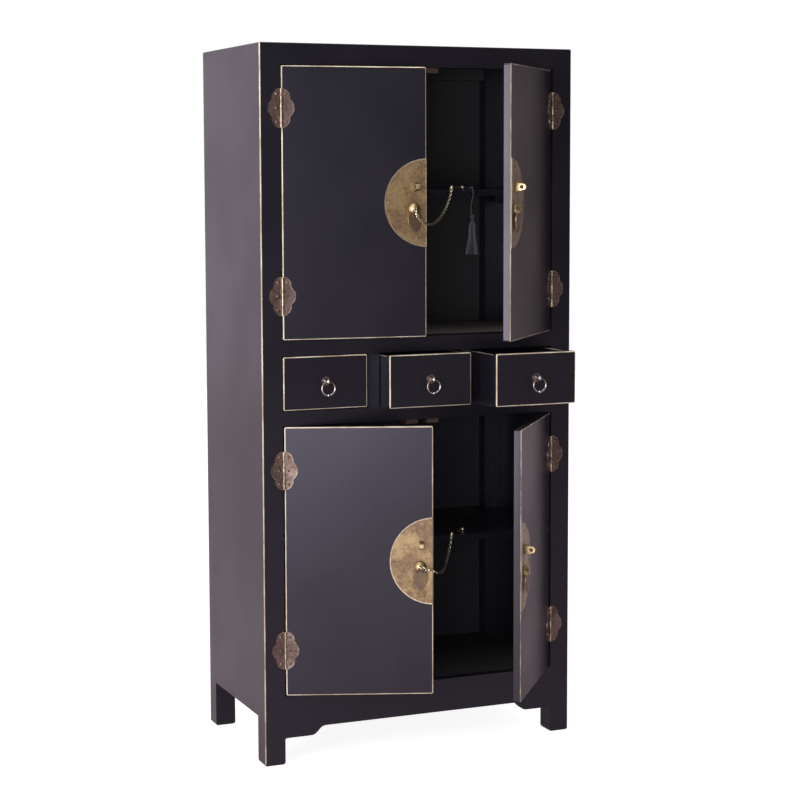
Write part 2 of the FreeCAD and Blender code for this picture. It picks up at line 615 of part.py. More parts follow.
def door(name, bottom, top, is_left, opening):
    """One door with all that it carries, built shut on the left and then mirrored and turned."""
    middle = (bottom + top) / 2
    panel = block(DOOR_HINGE_EDGE, DOOR_FREE_EDGE, FRONT, DOOR_INNER_FACE, bottom, top)
    leaves = [solid for level in hinge_levels(bottom, top) for solid in hinge_leaf(level, 1)]
    groups = {"": [rounded_front(panel, EDGE_ROUND)],
              "_hinge_leaves": leaves,
              "_lock_plate": lock_plate(middle),
              "_lock_fittings": [lug(middle), boss(middle), strike(top, is_left)],
              "_drop_pull": [drop_pull(middle)]}
    for suffix, solids in groups.items():
        if is_left:
            placed = [turned(s, HINGE_X, -opening) for s in solids]
        else:
            placed = [turned(mirrored(s), -HINGE_X, opening) for s in solids]
        save(name + suffix, *placed)


def doors():
    door("upper_left_door", UPPER_DOOR_BOTTOM, UPPER_DOOR_TOP, True, UPPER_LEFT_ANGLE)
    door("upper_right_door", UPPER_DOOR_BOTTOM, UPPER_DOOR_TOP, False, UPPER_RIGHT_ANGLE)
    door("lower_left_door", LOWER_DOOR_BOTTOM, LOWER_DOOR_TOP, True, LOWER_LEFT_ANGLE)
    door("lower_right_door", LOWER_DOOR_BOTTOM, LOWER_DOOR_TOP, False, LOWER_RIGHT_ANGLE)


def drawer(name, middle, pulled_out):
    """Drawer front, its box of boards, and the ring pull."""
    front = FRONT - pulled_out
    half = DRAWER_WIDTH / 2
    behind = front + DRAWER_FRONT_THICKNESS
    end = BACK_PANEL_FRONT - DRAWER_BACK_ROOM - pulled_out
    panel = block(middle - half, middle + half, front, behind, DRAWER_FRONT_BOTTOM, DRAWER_FRONT_TOP)
    save(name + "_front", rounded_front(panel, EDGE_ROUND))
    low = DECK_TOP + DRAWER_RUN_CLEARANCE
    high = DRAWER_FRONT_TOP - DRAWER_SIDE_BELOW_TOP
    inner = half - DRAWER_WALL
    bottom_low = DRAWER_FRONT_BOTTOM + DRAWER_BOTTOM_RISE
    bottom_high = bottom_low + DRAWER_BOTTOM_THICKNESS
    sides = [block(middle - half, middle - inner, behind, end, low, high),
             block(middle + inner, middle + half, behind, end, low, high)]
    base = block(middle - inner, middle + inner, behind, end, bottom_low, bottom_high)
    rear = block(middle - inner, middle + inner, end - DRAWER_WALL, end, bottom_high, high)
    save(name + "_box", *sides, base, rear)
    level = (DRAWER_FRONT_BOTTOM + DRAWER_FRONT_TOP) / 2 + PULL_RISE
    ring_pull(name, Vector(middle, front, level))


def ring_pull(name, seat):
    """Rosette and ball on the drawer front, with a loose ring through the ball."""
    out = BACKWARDS * -1
    ball = seat + out * BALL_REACH
    hole_radius = RING_WIRE_RADIUS + RING_HOLE_CLEARANCE
    across = SIDEWAYS * (BALL_RADIUS + OVERRUN)
    knob = rod(ROSETTE_RADIUS, seat, seat + out * ROSETTE_THICKNESS)
    knob = knob.fuse([rod(NECK_RADIUS, seat, ball), Part.makeSphere(BALL_RADIUS, ball)])
    save(name + "_knob", knob.removeSplitter().cut(rod(hole_radius, ball - across, ball + across)))
    centre = ball - UP * RING_RADIUS
    wire = Part.Wire(Part.Circle(ball, SIDEWAYS, RING_WIRE_RADIUS).toShape())
    ring = Part.Face(wire).revolve(centre, BACKWARDS, FULL_TURN)
    bead = Part.makeSphere(RING_BEAD_RADIUS, centre - UP * RING_RADIUS, SIDEWAYS)
    save(name + "_ring", ring.fuse(bead))


def drawers():
    for i, name in enumerate(("left_drawer", "middle_drawer", "right_drawer")):
        drawer(name, (i - 1) * DRAWER_PITCH, DRAWER_PULLED_OUT[i])


def lock_pin(shelf_top):
    """Pin that lies on the shelf with its head just past the front edge."""
    heading = math.radians(LOCK_PIN_HEADING)
    head = Vector(LOCK_PIN_RIGHT_OF_MIDDLE, BEHIND_POST - LOCK_PIN_OVERHANG,
                  shelf_top + LOCK_PIN_RADIUS + LOCK_PIN_CLEARANCE)
    end = head + Vector(math.cos(heading), math.sin(heading), 0) * LOCK_PIN_LENGTH
    pin = rod(LOCK_PIN_RADIUS, head, end)
    return pin.fuse(Part.makeSphere(LOCK_PIN_HEAD_RADIUS, head)).removeSplitter()


def line_tube(name, route, radius):
    """Limp line: straight runs joined by the largest tangent arcs that the runs leave room for."""
    points = [Vector(*p) for p in route]
    edges = []
    radii = []
    start = points[0]
    for before, corner, after in zip(points, points[1:], points[2:]):
        inwards = (before - corner).normalize()
        outwards = (after - corner).normalize()
        turn = math.pi - inwards.getAngle(outwards)
        cut = ARC_SHARE * min((before - corner).Length, (after - corner).Length)
        bend = cut / math.tan(turn / 2)
        radii.append(bend)
        arc_start = corner + inwards * cut
        arc_end = corner + outwards * cut
        bisector = (inwards + outwards).normalize()
        arc_middle = corner + bisector * (bend / math.cos(turn / 2) - bend)
        edges.append(Part.LineSegment(start, arc_start).toShape())
        edges.append(Part.Arc(arc_start, arc_middle, arc_end).toShape())
        start = arc_end
    edges.append(Part.LineSegment(start, points[-1]).toShape())
    path = Part.Wire(edges)
    section = Part.Wire(Part.Circle(points[0], points[1] - points[0], radius).toShape())
    tube = path.makePipeShell([section], True, False)
    expected = math.pi * radius ** 2 * path.Length
    print(name, "length", round(path.Length, 1), "least radius", round(min(radii), 1),
          "volume share", round(tube.Volume / expected, 4))
    return tube


def tassel():
    """Knot, neck and flared skirt on the end of the tassel's cord."""
    end = Vector(*TASSEL_CORD_ROUTE[-1])
    knot = Part.makeSphere(TASSEL_KNOT_RADIUS, end)
    neck_low = end.z - TASSEL_KNOT_RADIUS - TASSEL_NECK_LENGTH
    shoulder_low = neck_low - TASSEL_SHOULDER
    foot = shoulder_low - TASSEL_SKIRT_LENGTH + TASSEL_SHOULDER

    def on_axis(level):
        return Vector(end.x, end.y, level)

    neck = rod(TASSEL_NECK_RADIUS, on_axis(neck_low), end)
    shoulder = Part.makeCone(TASSEL_TOP_RADIUS, TASSEL_NECK_RADIUS, TASSEL_SHOULDER, on_axis(shoulder_low))
    skirt = Part.makeCone(TASSEL_SKIRT_RADIUS, TASSEL_TOP_RADIUS, shoulder_low - foot, on_axis(foot))
    return knot.fuse([neck, shoulder, skirt]).removeSplitter()


def chains():
    """Lock pins with the chains that tie them to the left doors, and the tassel of the upper pin."""
    save("upper_chain", line_tube("upper_chain", UPPER_CHAIN_ROUTE, CHAIN_RADIUS))
    save("lower_chain", line_tube("lower_chain", LOWER_CHAIN_ROUTE, CHAIN_RADIUS))
    save("upper_lock_pin", lock_pin(UPPER_SHELF_TOP))
    save("lower_lock_pin", lock_pin(LOWER_SHELF_TOP))
    save("tassel_cord", line_tube("tassel_cord", TASSEL_CORD_ROUTE, TASSEL_CORD_RADIUS))
    save("tassel", tassel())


posts()
walls()
front_frame()
boards()
drawer_guides()
magnet_catches()
frame_hinges()
doors()
drawers()
chains()
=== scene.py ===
"""Finishes a lacquered side cabinet: rubbed edges, brass fittings, chains, tassel and a photo stage."""

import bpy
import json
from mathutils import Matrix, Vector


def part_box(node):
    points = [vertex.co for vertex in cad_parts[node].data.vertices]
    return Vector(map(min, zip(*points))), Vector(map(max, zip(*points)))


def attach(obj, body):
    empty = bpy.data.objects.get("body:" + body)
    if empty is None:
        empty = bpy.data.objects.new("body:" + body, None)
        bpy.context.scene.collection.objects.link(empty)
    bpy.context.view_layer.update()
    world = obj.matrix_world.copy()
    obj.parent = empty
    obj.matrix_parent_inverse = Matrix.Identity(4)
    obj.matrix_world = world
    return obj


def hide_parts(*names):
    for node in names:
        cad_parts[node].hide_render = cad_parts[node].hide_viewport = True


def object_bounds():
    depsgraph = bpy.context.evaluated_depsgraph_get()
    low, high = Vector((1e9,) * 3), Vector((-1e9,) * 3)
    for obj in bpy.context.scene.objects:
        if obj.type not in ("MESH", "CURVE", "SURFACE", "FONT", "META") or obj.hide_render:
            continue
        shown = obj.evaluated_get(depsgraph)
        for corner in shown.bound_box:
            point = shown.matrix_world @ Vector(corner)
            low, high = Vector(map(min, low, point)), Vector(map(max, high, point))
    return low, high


bl_info = {
    "name": "Lacquered side cabinet",
    "version": (1, 0, 0),
    "blender": (4, 5, 0),
    "location": "View3D > Sidebar > Cabinet",
    "description": "Builds the cabinet's lacquered and brass pieces around its packed construction",
    "category": "Object",
}

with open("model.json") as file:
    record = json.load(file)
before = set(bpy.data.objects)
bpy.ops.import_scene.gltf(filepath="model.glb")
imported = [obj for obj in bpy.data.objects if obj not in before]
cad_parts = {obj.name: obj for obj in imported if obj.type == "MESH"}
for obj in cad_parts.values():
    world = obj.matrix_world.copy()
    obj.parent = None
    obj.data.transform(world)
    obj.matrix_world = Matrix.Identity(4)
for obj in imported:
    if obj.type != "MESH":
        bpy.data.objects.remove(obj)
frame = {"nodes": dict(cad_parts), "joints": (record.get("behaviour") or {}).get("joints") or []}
cad_low, cad_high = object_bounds()

import json
import math

import bpy
from bpy.props import FloatProperty, FloatVectorProperty, IntProperty, PointerProperty, StringProperty
from mathutils import Matrix, Vector

DOORS = ("upper_left_door", "upper_right_door", "lower_left_door", "lower_right_door")
DRAWERS = ("left_drawer", "middle_drawer", "right_drawer")
# How far the left, right, lower and upper edge of each front is rubbed through to the gold
DOOR_EDGES = dict(zip(DOORS, ((1.0, 0.8, 0.8, 1.0), (0.55, 0.7, 0.55, 0.38),
                              (1.0, 1.0, 1.0, 1.0), (0.47, 0.7, 0.5, 0.5))))
DRAWER_EDGES = dict(zip(DRAWERS, ((1.0, 0.8, 0.8, 0.9), (1.0, 0.68, 0.62, 0.68), (1.0, 0.7, 0.9, 0.9))))
# How far the arc of each lock plate is rubbed
PLATE_RIMS = dict(zip(DOORS, (0.9, 0.35, 0.8, 0.35)))
# A negative rubbing darkens a point: along a plate's straight side and on its nails, and as painted shade
# round the feet of lugs and bosses
SIDE_DARKENING = -0.75
NAIL_DARKENING = -0.8
ROOT_SHADE = -0.8
# Painted shade on the flanks of the lugs, deepest on the left doors
LUG_FLANK_SHADE = dict(zip(DOORS, (-0.6, 0.0, -0.4, -0.15)))
HINGE_RIM_RUB = 0.3
# A hinge barrel's front strip: rubbed, and a painted highlight
BARREL_RUB_AND_HIGHLIGHT = 0.6
PULL_RUB = 0.45
BOX_EDGE_RUB = 0.5
ROSETTE_RUB = 0.8
PIN_RUB = 0.25
# The middle of a chain link is rubbed this far, and its ends, painted dark as shade where links nest, less
# by the second number
LINK_RUB = 1.5
LINK_END_SHADE = 1.65
END_RING_RUB = 0.6
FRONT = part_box("top_rail")[0].y
SAME_PLACE = 2e-5
FLAT_ANGLE = math.radians(0.6)
SMOOTH_ANGLE = math.radians(35)
# The normal of a face that looks straight to the front has a y below this
STRAIGHT_AHEAD = -0.999
# The nails of a hinge stand no further than this out of its plate
NAIL_HEIGHT = 0.0012
# A fitting whose width is less than this share of its depth is a lug
LUG_SLENDERNESS = 0.6
WEAR_AND_PAINTED_LIGHT = "wear_and_painted_light"
WHITE = (1.0, 1.0, 1.0, 1.0)
# Dust and painted light grow between these heights, so that the lower boards are painted darker as shade
DUST_AND_LIGHT_FROM = 0.5
DUST_AND_LIGHT_TO = 0.8
# The share of a face that they cover at those heights, and how much of that lies on upright faces
LEAST_DUST_AND_LIGHT = 0.06
MOST_DUST_AND_LIGHT = 0.6
UPRIGHT_DUST_AND_LIGHT = 0.12
LACQUER_SHEEN = (1.0, 0.89, 1.03, 1.0)
# Pink tint of the floor in reflections only: a painted reflection colour
FLOOR_SHEEN = (1.0, 0.86, 0.94, 1.0)
# A lock pin's radius, and how far that is from its end, or from the middle of its head where negative
PIN_PROFILE = [(0.0019, -0.0050), (0.0029, -0.0060), (0.0029, -0.0078), (0.0016, -0.0090), (0.0016, 0.0100),
               (0.0029, 0.0096), (0.0029, 0.0074), (0.0018, 0.0066), (0.0029, 0.0040), (0.0029, 0.0024),
               (0.0016, 0.0006), (0.0, 0.0)]
PIN_END_MARGIN = 0.003
PIN_END_LENGTH = 0.012
PIN_BALL_SWEEP = 150
PIN_BALL_STEPS = 8
PIN_SIDES = 20
# How far the corner of the front left post is rubbed, and where that ends above the floor
POST_WEAR_LOW = 0.45
POST_WEAR_HIGH = 0.8
FOOT_WEAR_END = 0.005
# The rings at both ends of a chain, as a multiple of a link
END_RING = 1.3

# Routes of the limp lines in metres, the same points as the construction's tubes
UPPER_CHAIN_ROUTE = [
    (-0.0290, -0.2084, 1.0170), (-0.0262, -0.2108, 1.0008), (-0.0160, -0.2108, 0.9907),
    (-0.0033, -0.2095, 0.9849), (0.0112, -0.1990, 0.9858), (0.0310, -0.1810, 0.9930),
    (0.0460, -0.1655, 1.0035), (0.0595, -0.1525, 1.0175), (0.0705, -0.1410, 1.0330),
    (0.0775, -0.1345, 1.0490)]
LOWER_CHAIN_ROUTE = [
    (-0.0430, -0.2639, 0.3680), (-0.0330, -0.2693, 0.3620), (-0.0220, -0.2735, 0.3595),
    (-0.0100, -0.2725, 0.3560), (0.0000, -0.2595, 0.3532), (0.0105, -0.2415, 0.3510),
    (0.0225, -0.2215, 0.3503), (0.0350, -0.2005, 0.3520), (0.0470, -0.1800, 0.3558),
    (0.0580, -0.1615, 0.3620), (0.0685, -0.1460, 0.3735), (0.0773, -0.1345, 0.3950)]
TASSEL_CORD_ROUTE = [
    (0.1215, -0.0936, 1.0513), (0.1265, -0.1015, 1.0505), (0.1280, -0.1115, 1.0503),
    (0.1250, -0.1215, 1.0526), (0.1220, -0.1305, 1.0524), (0.1210, -0.1355, 1.0462),
    (0.1218, -0.1360, 1.0360), (0.1185, -0.1360, 1.0260), (0.1162, -0.1363, 1.0155),
    (0.1170, -0.1360, 1.0060), (0.1194, -0.1362, 0.9970)]
# Radius and height of the tassel's knot and bound neck, in millimetres from the end of its cord
KNOT_PROFILE = ((0.0, 4.2), (1.6, 3.6), (3.8, 1.2), (3.9, -1.2), (2.4, -3.2), (2.2, -4.2), (2.9, -4.8),
                (2.9, -5.6), (2.4, -6.2), (2.9, -6.8), (2.9, -7.6), (2.4, -8.2), (2.9, -8.8), (2.6, -9.6),
                (0.0, -9.8))
KNOT_SIDES = 24
ROUTE_STEPS = 12
THREAD_STEPS = 3
# The threads start this far under the end of the cord
NECK_DROP = 0.0092
# How far below that a thread is, and its distance from the middle
SKIRT_NECK = ((0.0, 0.0024), (0.002, 0.0066), (0.014, 0.0066))
SKIRT_MIDDLE = 0.0074
# How high above its end a thread is, and its share of the skirt's reach
SKIRT_FOOT = ((0.012, 0.92), (0.0, 1.04))
GOLDEN_ANGLE = math.pi * (3 - math.sqrt(5))
THREAD_SWAY = 0.12
THREAD_RAGGEDNESS = 0.004

# Reflections show a white sweep behind the cabinet: which way it lies, where it starts and is full, and its
# brightness beside that of the floor which the camera sees
SWEEP_WAY = (-0.5, 0.87, 0.0)
SWEEP_START = -0.6
SWEEP_FULL = 0.8
SWEEP_LIGHT = 0.31
FLOOR_LIGHT = 0.85
# The same for a wall behind and to the left, with its darkest and brightest light
WALL_WAY = (-0.8, 0.6, 0.0)
WALL_START = -0.9
WALL_FULL = 0.65
WALL_DARKEST = 0.07
WALL_BRIGHTEST = 0.88
WALL_SHADE_TINT = (1.0, 0.8, 0.78, 1.0)
WALL_TINT = (1.0, 0.89, 1.02, 1.0)
# Name, place, aim, width, height, power and colour of each soft light
SOFTBOXES = (
    ("key_softbox", (-2.5, -1.75, 0.95), (0, 0, 0.7), 1.35, 2.0, 55, (1.0, 1.0, 1.0)),
    ("camera_softbox", (-2.3, -4.3, 0.8), (0, 0, 0.5), 1.4, 1.5, 50, (0.91, 1.0, 1.12)),
    ("front_softbox", (-0.9, -4.4, 1.0), (0, 0, 0.7), 2.0, 1.2, 9, (0.92, 1.0, 1.18)),
    ("top_softbox", (-0.6, -1.0, 3.2), (0, 0, 0.6), 2.0, 2.0, 24, (1.0, 1.0, 1.0)),
)


def length(name, description, default):
    return FloatProperty(name=name, description=description, default=default, min=0, unit="LENGTH",
                         precision=5)


def finish_colour(name, description, default):
    return StringProperty(name=name, description=description + ", as an sRGB hex value", default=default)


class CabinetSizes(bpy.types.PropertyGroup):
    """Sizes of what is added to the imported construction, in metres."""
    door_round: length("Door edge", "Rubbed radius round doors and drawer fronts", 0.0024)
    post_round: length("Post edge", "Rubbed radius of the posts' outer corners", 0.0026)
    corner_round: length("Door corner", "Corner radius of doors and drawer fronts", 0.0028)
    back_round: length("Inner edge", "Easing of the edges that aren't rubbed", 0.0008)
    rear_round: length("Rear corner", "Radius of the outer corners at the back", 0.0045)
    top_round: length("Top edge", "Radius round the upper face of the top board", 0.0028)
    foot_round: length("Foot edge", "Rounding round the bottom of each leg", 0.0060)
    apron_round: length("Apron edge", "Easing of the apron's lower edge", 0.0016)
    door_thickness: length("Door thickness", "Thickness of a door", 0.014)
    door_gap: length("Door gap", "Gap round a door", 0.0015)
    rim_width: length("Plate rim", "Width of the raised rim on brass plates", 0.0016)
    rim_slope: length("Rim slope", "Width of the slope inside the rim", 0.0006)
    rim_depth: length("Rim height", "Height of the rim over the plate's face", 0.0003)
    barrel_radius: length("Barrel radius", "Radius of the hinge barrels", 0.0022)
    brass_round: length("Brass edge", "Easing of small brass edges", 0.0003)
    # Reach of the painted shade up a lug or boss
    shade_height: length("Grime height", "Reach of the grime up a lug or boss", 0.0015)
    pull_round: length("Pull edge", "Easing round the front of a drop pull", 0.0009)
    nail_rise: length("Nail dome", "Rise of the dome on a nail head", 0.0004)
    rosette_thickness: length("Rosette", "Thickness of the rosette at a ring pull", 0.002)
    rosette_rim: length("Rosette rim", "Width of the rim round a rosette", 0.001)
    link_pitch: length("Link pitch", "Distance from one chain link to the next", 0.0048)
    chain_diameter: length("Chain diameter", "Width of the chain over its links", 0.0055)
    wire_radius: length("Link wire", "Radius of the wire of a link", 0.00102)
    pin_head: length("Pin head", "Radius of the ball of a lock pin", 0.0044)
    cord_diameter: length("Tassel cord", "Diameter of the tassel's cord", 0.002)
    strand_radius: length("Tassel thread", "Radius of a thread", 0.00052)
    strands: IntProperty(name="Tassel threads", description="Number of threads", default=150, min=12)


class CabinetColours(bpy.types.PropertyGroup):
    """Colours of the finishes."""
    lacquer: finish_colour("Lacquer", "Black lacquer of the carcass and doors", "#15141A")
    inner: finish_colour("Inside", "Lacquer of the inner faces", "#252426")
    # Dust colour, laid thicker higher up, also as painted light on the upper boards
    dust_and_light: finish_colour("Dust", "Film of dust on the boards inside", "#857A75")
    rubbed: finish_colour("Rubbed edge", "Pale gold where the lacquer is rubbed through", "#EADBC3")
    rubbed_dark: finish_colour("Rubbed edge shade", "Browner stretches of the rubbed edge", "#B8A386")
    brass: finish_colour("Brass", "Clear face of the aged brass plates", "#B29868")
    brass_dark: finish_colour("Brass patches", "Brown patches on the aged brass", "#785B41")
    brass_pits: finish_colour("Brass pits", "Small dark pits in the aged brass", "#4E3A2B")
    brass_rim: finish_colour("Brass rim", "Rubbed rim of the brass plates", "#D6C6A4")
    bright: finish_colour("Bright brass", "Lugs and bosses", "#D2C196")
    # Worn pale brass; on the pins' ends also a painted highlight
    chain: finish_colour("Worn chain", "Outsides of the links and the ends of the pins", "#F6E8C6")
    dark: finish_colour("Dark brass", "Drop pulls", "#7E6440")
    hinge: finish_colour("Hinges", "Face of the hinge plates", "#8E7A70")
    hinge_dark: finish_colour("Hinge patches", "Patches on the hinge plates", "#64524A")
    # Painted shade between the links of a chain
    hollow_shade: finish_colour("Chain hollows", "Tarnish between the links of a chain", "#1E1811")
    silver: finish_colour("Ring pulls", "Rubbed rings on the drawers", "#A59A8A")
    steel: finish_colour("Steel", "Strike plates and magnet poles", "#C4C3C6")
    plastic: finish_colour("Catch plastic", "Brown magnet catches", "#5E463D")
    yarn: finish_colour("Tassel yarn", "Dark grey yarn", "#0F0F13")
    floor: finish_colour("Floor", "Pale floor", "#C9C3C3")


class CabinetStage(bpy.types.PropertyGroup):
    """Camera and light."""
    camera_place: FloatVectorProperty(name="Camera", description="Place of the camera", precision=4,
                                      default=(-1.4485, -3.5008, 1.0803), subtype="TRANSLATION")
    camera_heading: FloatProperty(name="Heading", description="Turn to the right of straight on",
                                  default=math.radians(22.881), subtype="ANGLE")
    camera_dip: FloatProperty(name="Dip", description="Downward tilt of the camera",
                              default=math.radians(5.485), subtype="ANGLE")
    camera_roll: FloatProperty(name="Roll", description="Roll of the camera about its axis",
                               default=math.radians(-0.149), subtype="ANGLE")
    lens: FloatProperty(name="Lens", description="Focal length on a 36 mm frame", default=88.83,
                        unit="CAMERA")
    shift: FloatProperty(name="Vertical shift", description="Shift of the frame", default=-0.0476)
    room_light: FloatProperty(name="Room light", description="Even light from the room", default=0.5)
    floor_size: length("Floor", "Side of the square floor", 12.0)


def linear(colour):
    """An sRGB hex value as linear red, green, blue and alpha."""
    channels = [int(colour[i:i + 2], 16) / 255 for i in (1, 3, 5)]
    return [c / 12.92 if c <= 0.04045 else ((c + 0.055) / 1.055) ** 2.4 for c in channels] + [1.0]


def per_mm(size):
    """Scale of a pattern on object coordinates whose features are that many millimetres across."""
    return 1000 / size


def node(tree, kind, inputs=None, **settings):
    """Adds a node with its settings, and sets or links its inputs."""
    made = tree.nodes.new(kind)
    for name, value in settings.items():
        setattr(made, name, value)
    for socket, value in (inputs or {}).items():
        if isinstance(value, bpy.types.NodeSocket):
            tree.links.new(value, made.inputs[socket])
        else:
            made.inputs[socket].default_value = value
    return made


def new_material(name, **sockets):
    """A material with one Principled shader: its tree, shader and object coordinates."""
    material = bpy.data.materials.new(name)
    material.use_nodes = True
    tree = material.node_tree
    shader = tree.nodes["Principled BSDF"]
    for socket, value in sockets.items():
        shader.inputs[socket.replace("_", " ")].default_value = value
    return material, tree, shader, node(tree, "ShaderNodeTexCoord").outputs["Object"]


def feed(shader, **sockets):
    """Links patterns to a shader's sockets."""
    for socket, value in sockets.items():
        shader.id_data.links.new(value, shader.inputs[socket.replace("_", " ")])


def speckle(tree, place, size, detail, low, high):
    """A pattern with features of a size in millimetres, stretched so that low and high become 0 and 1."""
    noise = node(tree, "ShaderNodeTexNoise", {"Vector": place, "Scale": per_mm(size), "Detail": detail})
    stretch = {"Value": noise.outputs["Fac"], "From Min": low, "From Max": high}
    return node(tree, "ShaderNodeMapRange", stretch, interpolation_type="SMOOTHSTEP").outputs["Result"]


def sums(tree, *terms):
    """The weighted sum of (value, weight) pairs."""
    total = 0.0
    for value, weight in terms:
        inputs = {0: value, 1: weight, 2: total}
        total = node(tree, "ShaderNodeMath", inputs, operation="MULTIPLY_ADD").outputs["Value"]
    return total


def shaded(colour, factor):
    """A hex colour as linear values, darker or lighter by a factor."""
    return [c * factor for c in linear(colour)[:3]] + [1.0]


def finish(name):
    """The named finish, made the first time that it is asked for."""
    return bpy.data.materials.get(name) or FINISHES[name](bpy.context.scene.cabinet_colours)


def satin_lacquer(colours):
    """Black spray lacquer, rubbed through along the arrises: a soft blue-black sheen beside pale gold."""
    material, tree, shader, place = new_material("satin_black_lacquer", IOR=1.5,
                                                 Specular_Tint=LACQUER_SHEEN)
    wear_and_painted_light = node(tree, "ShaderNodeAttribute", attribute_name=WEAR_AND_PAINTED_LIGHT).outputs["Fac"]
    streaks = speckle(tree, place, 45, 3, 0.3, 0.7)
    grit = speckle(tree, place, 2.2, 2, 0.25, 0.75)
    clouds = speckle(tree, place, 160, 2, 0.35, 0.65)
    uneven = sums(tree, (wear_and_painted_light, 1.0), (streaks, -0.16), (grit, -0.18))
    rubbed = node(tree, "ShaderNodeMapRange", {"Value": uneven, "From Min": 0.1, "From Max": 0.34},
                  interpolation_type="SMOOTHSTEP").outputs["Result"]
    bared = node(tree, "ShaderNodeMapRange", {"Value": wear_and_painted_light, "To Min": 0.2, "To Max": 1.0})
    thinned = node(tree, "ShaderNodeMath", {0: rubbed, 1: bared.outputs["Result"]},
                   operation="MULTIPLY").outputs["Value"]
    gold = node(tree, "ShaderNodeMix", {"Factor": streaks, 6: linear(colours.rubbed),
                                        7: linear(colours.rubbed_dark)}, data_type="RGBA").outputs[2]
    base = node(tree, "ShaderNodeMix", {"Factor": thinned, 6: linear(colours.lacquer), 7: gold},
                data_type="RGBA").outputs[2]
    satin = node(tree, "ShaderNodeMapRange", {"Value": clouds, "To Min": 0.27, "To Max": 0.33})
    rough = node(tree, "ShaderNodeMix", {"Factor": rubbed, 2: satin.outputs["Result"], 3: 0.5},
                 data_type="FLOAT").outputs[0]
    # The spray leaves a faint orange peel, drawn at 5 mm so that it shows
    peel = node(tree, "ShaderNodeTexNoise", {"Vector": place, "Scale": per_mm(5), "Detail": 1.0})
    bump = node(tree, "ShaderNodeBump", {"Height": peel.outputs["Fac"], "Strength": 0.05,
                                         "Distance": 0.0004})
    feed(shader, Base_Color=base, Roughness=rough, Normal=bump.outputs["Normal"])
    return material


def inner_lacquer(colours):
    """One thin coat of black lacquer, unpolished: faint brown streaks of the grain under a dusty film, laid
    thinner on the lower boards as painted shade.
    """
    material, tree, shader, place = new_material("thin_inner_lacquer", IOR=1.45)
    wear_and_painted_light = node(tree, "ShaderNodeAttribute", attribute_name=WEAR_AND_PAINTED_LIGHT).outputs["Fac"]
    along = node(tree, "ShaderNodeMapping", {"Vector": place, "Scale": (0.06, 1.0, 1.0)}).outputs["Vector"]
    grain = speckle(tree, along, 3, 4, 0.35, 0.7)
    wood = node(tree, "ShaderNodeMix", {"Factor": grain, 6: linear(colours.inner),
                                        7: shaded(colours.inner, 1.2)}, data_type="RGBA").outputs[2]
    facing = node(tree, "ShaderNodeNewGeometry").outputs["Normal"]
    upward = node(tree, "ShaderNodeSeparateXYZ", {0: facing}).outputs["Z"]
    topside = node(tree, "ShaderNodeClamp", {"Value": upward}).outputs["Result"]
    level = node(tree, "ShaderNodeSeparateXYZ", {0: place}).outputs["Z"]
    heights = {"Value": level, "From Min": DUST_AND_LIGHT_FROM, "From Max": DUST_AND_LIGHT_TO,
               "To Min": LEAST_DUST_AND_LIGHT, "To Max": MOST_DUST_AND_LIGHT}
    dust_and_light_by_height = node(tree, "ShaderNodeMapRange", heights).outputs["Result"]
    # More of the dust colour higher up: dust, and the lower boards painted darker as shade
    lies = sums(tree, (topside, 1.0), (1.0, UPRIGHT_DUST_AND_LIGHT))
    dust_and_light = node(tree, "ShaderNodeMath", {0: lies, 1: dust_and_light_by_height}, operation="MULTIPLY").outputs["Value"]
    dusty_and_lit = node(tree, "ShaderNodeMix", {"Factor": dust_and_light, 6: wood, 7: linear(colours.dust_and_light)},
                 data_type="RGBA").outputs[2]
    base = node(tree, "ShaderNodeMix", {"Factor": wear_and_painted_light, 6: dusty_and_lit, 7: linear(colours.rubbed_dark)},
                data_type="RGBA").outputs[2]
    rough = node(tree, "ShaderNodeMapRange", {"Value": grain, "To Min": 0.5, "To Max": 0.62})
    bump = node(tree, "ShaderNodeBump", {"Height": grain, "Strength": 0.04, "Distance": 0.0002})
    feed(shader, Base_Color=base, Roughness=rough.outputs["Result"], Normal=bump.outputs["Normal"])
    return material


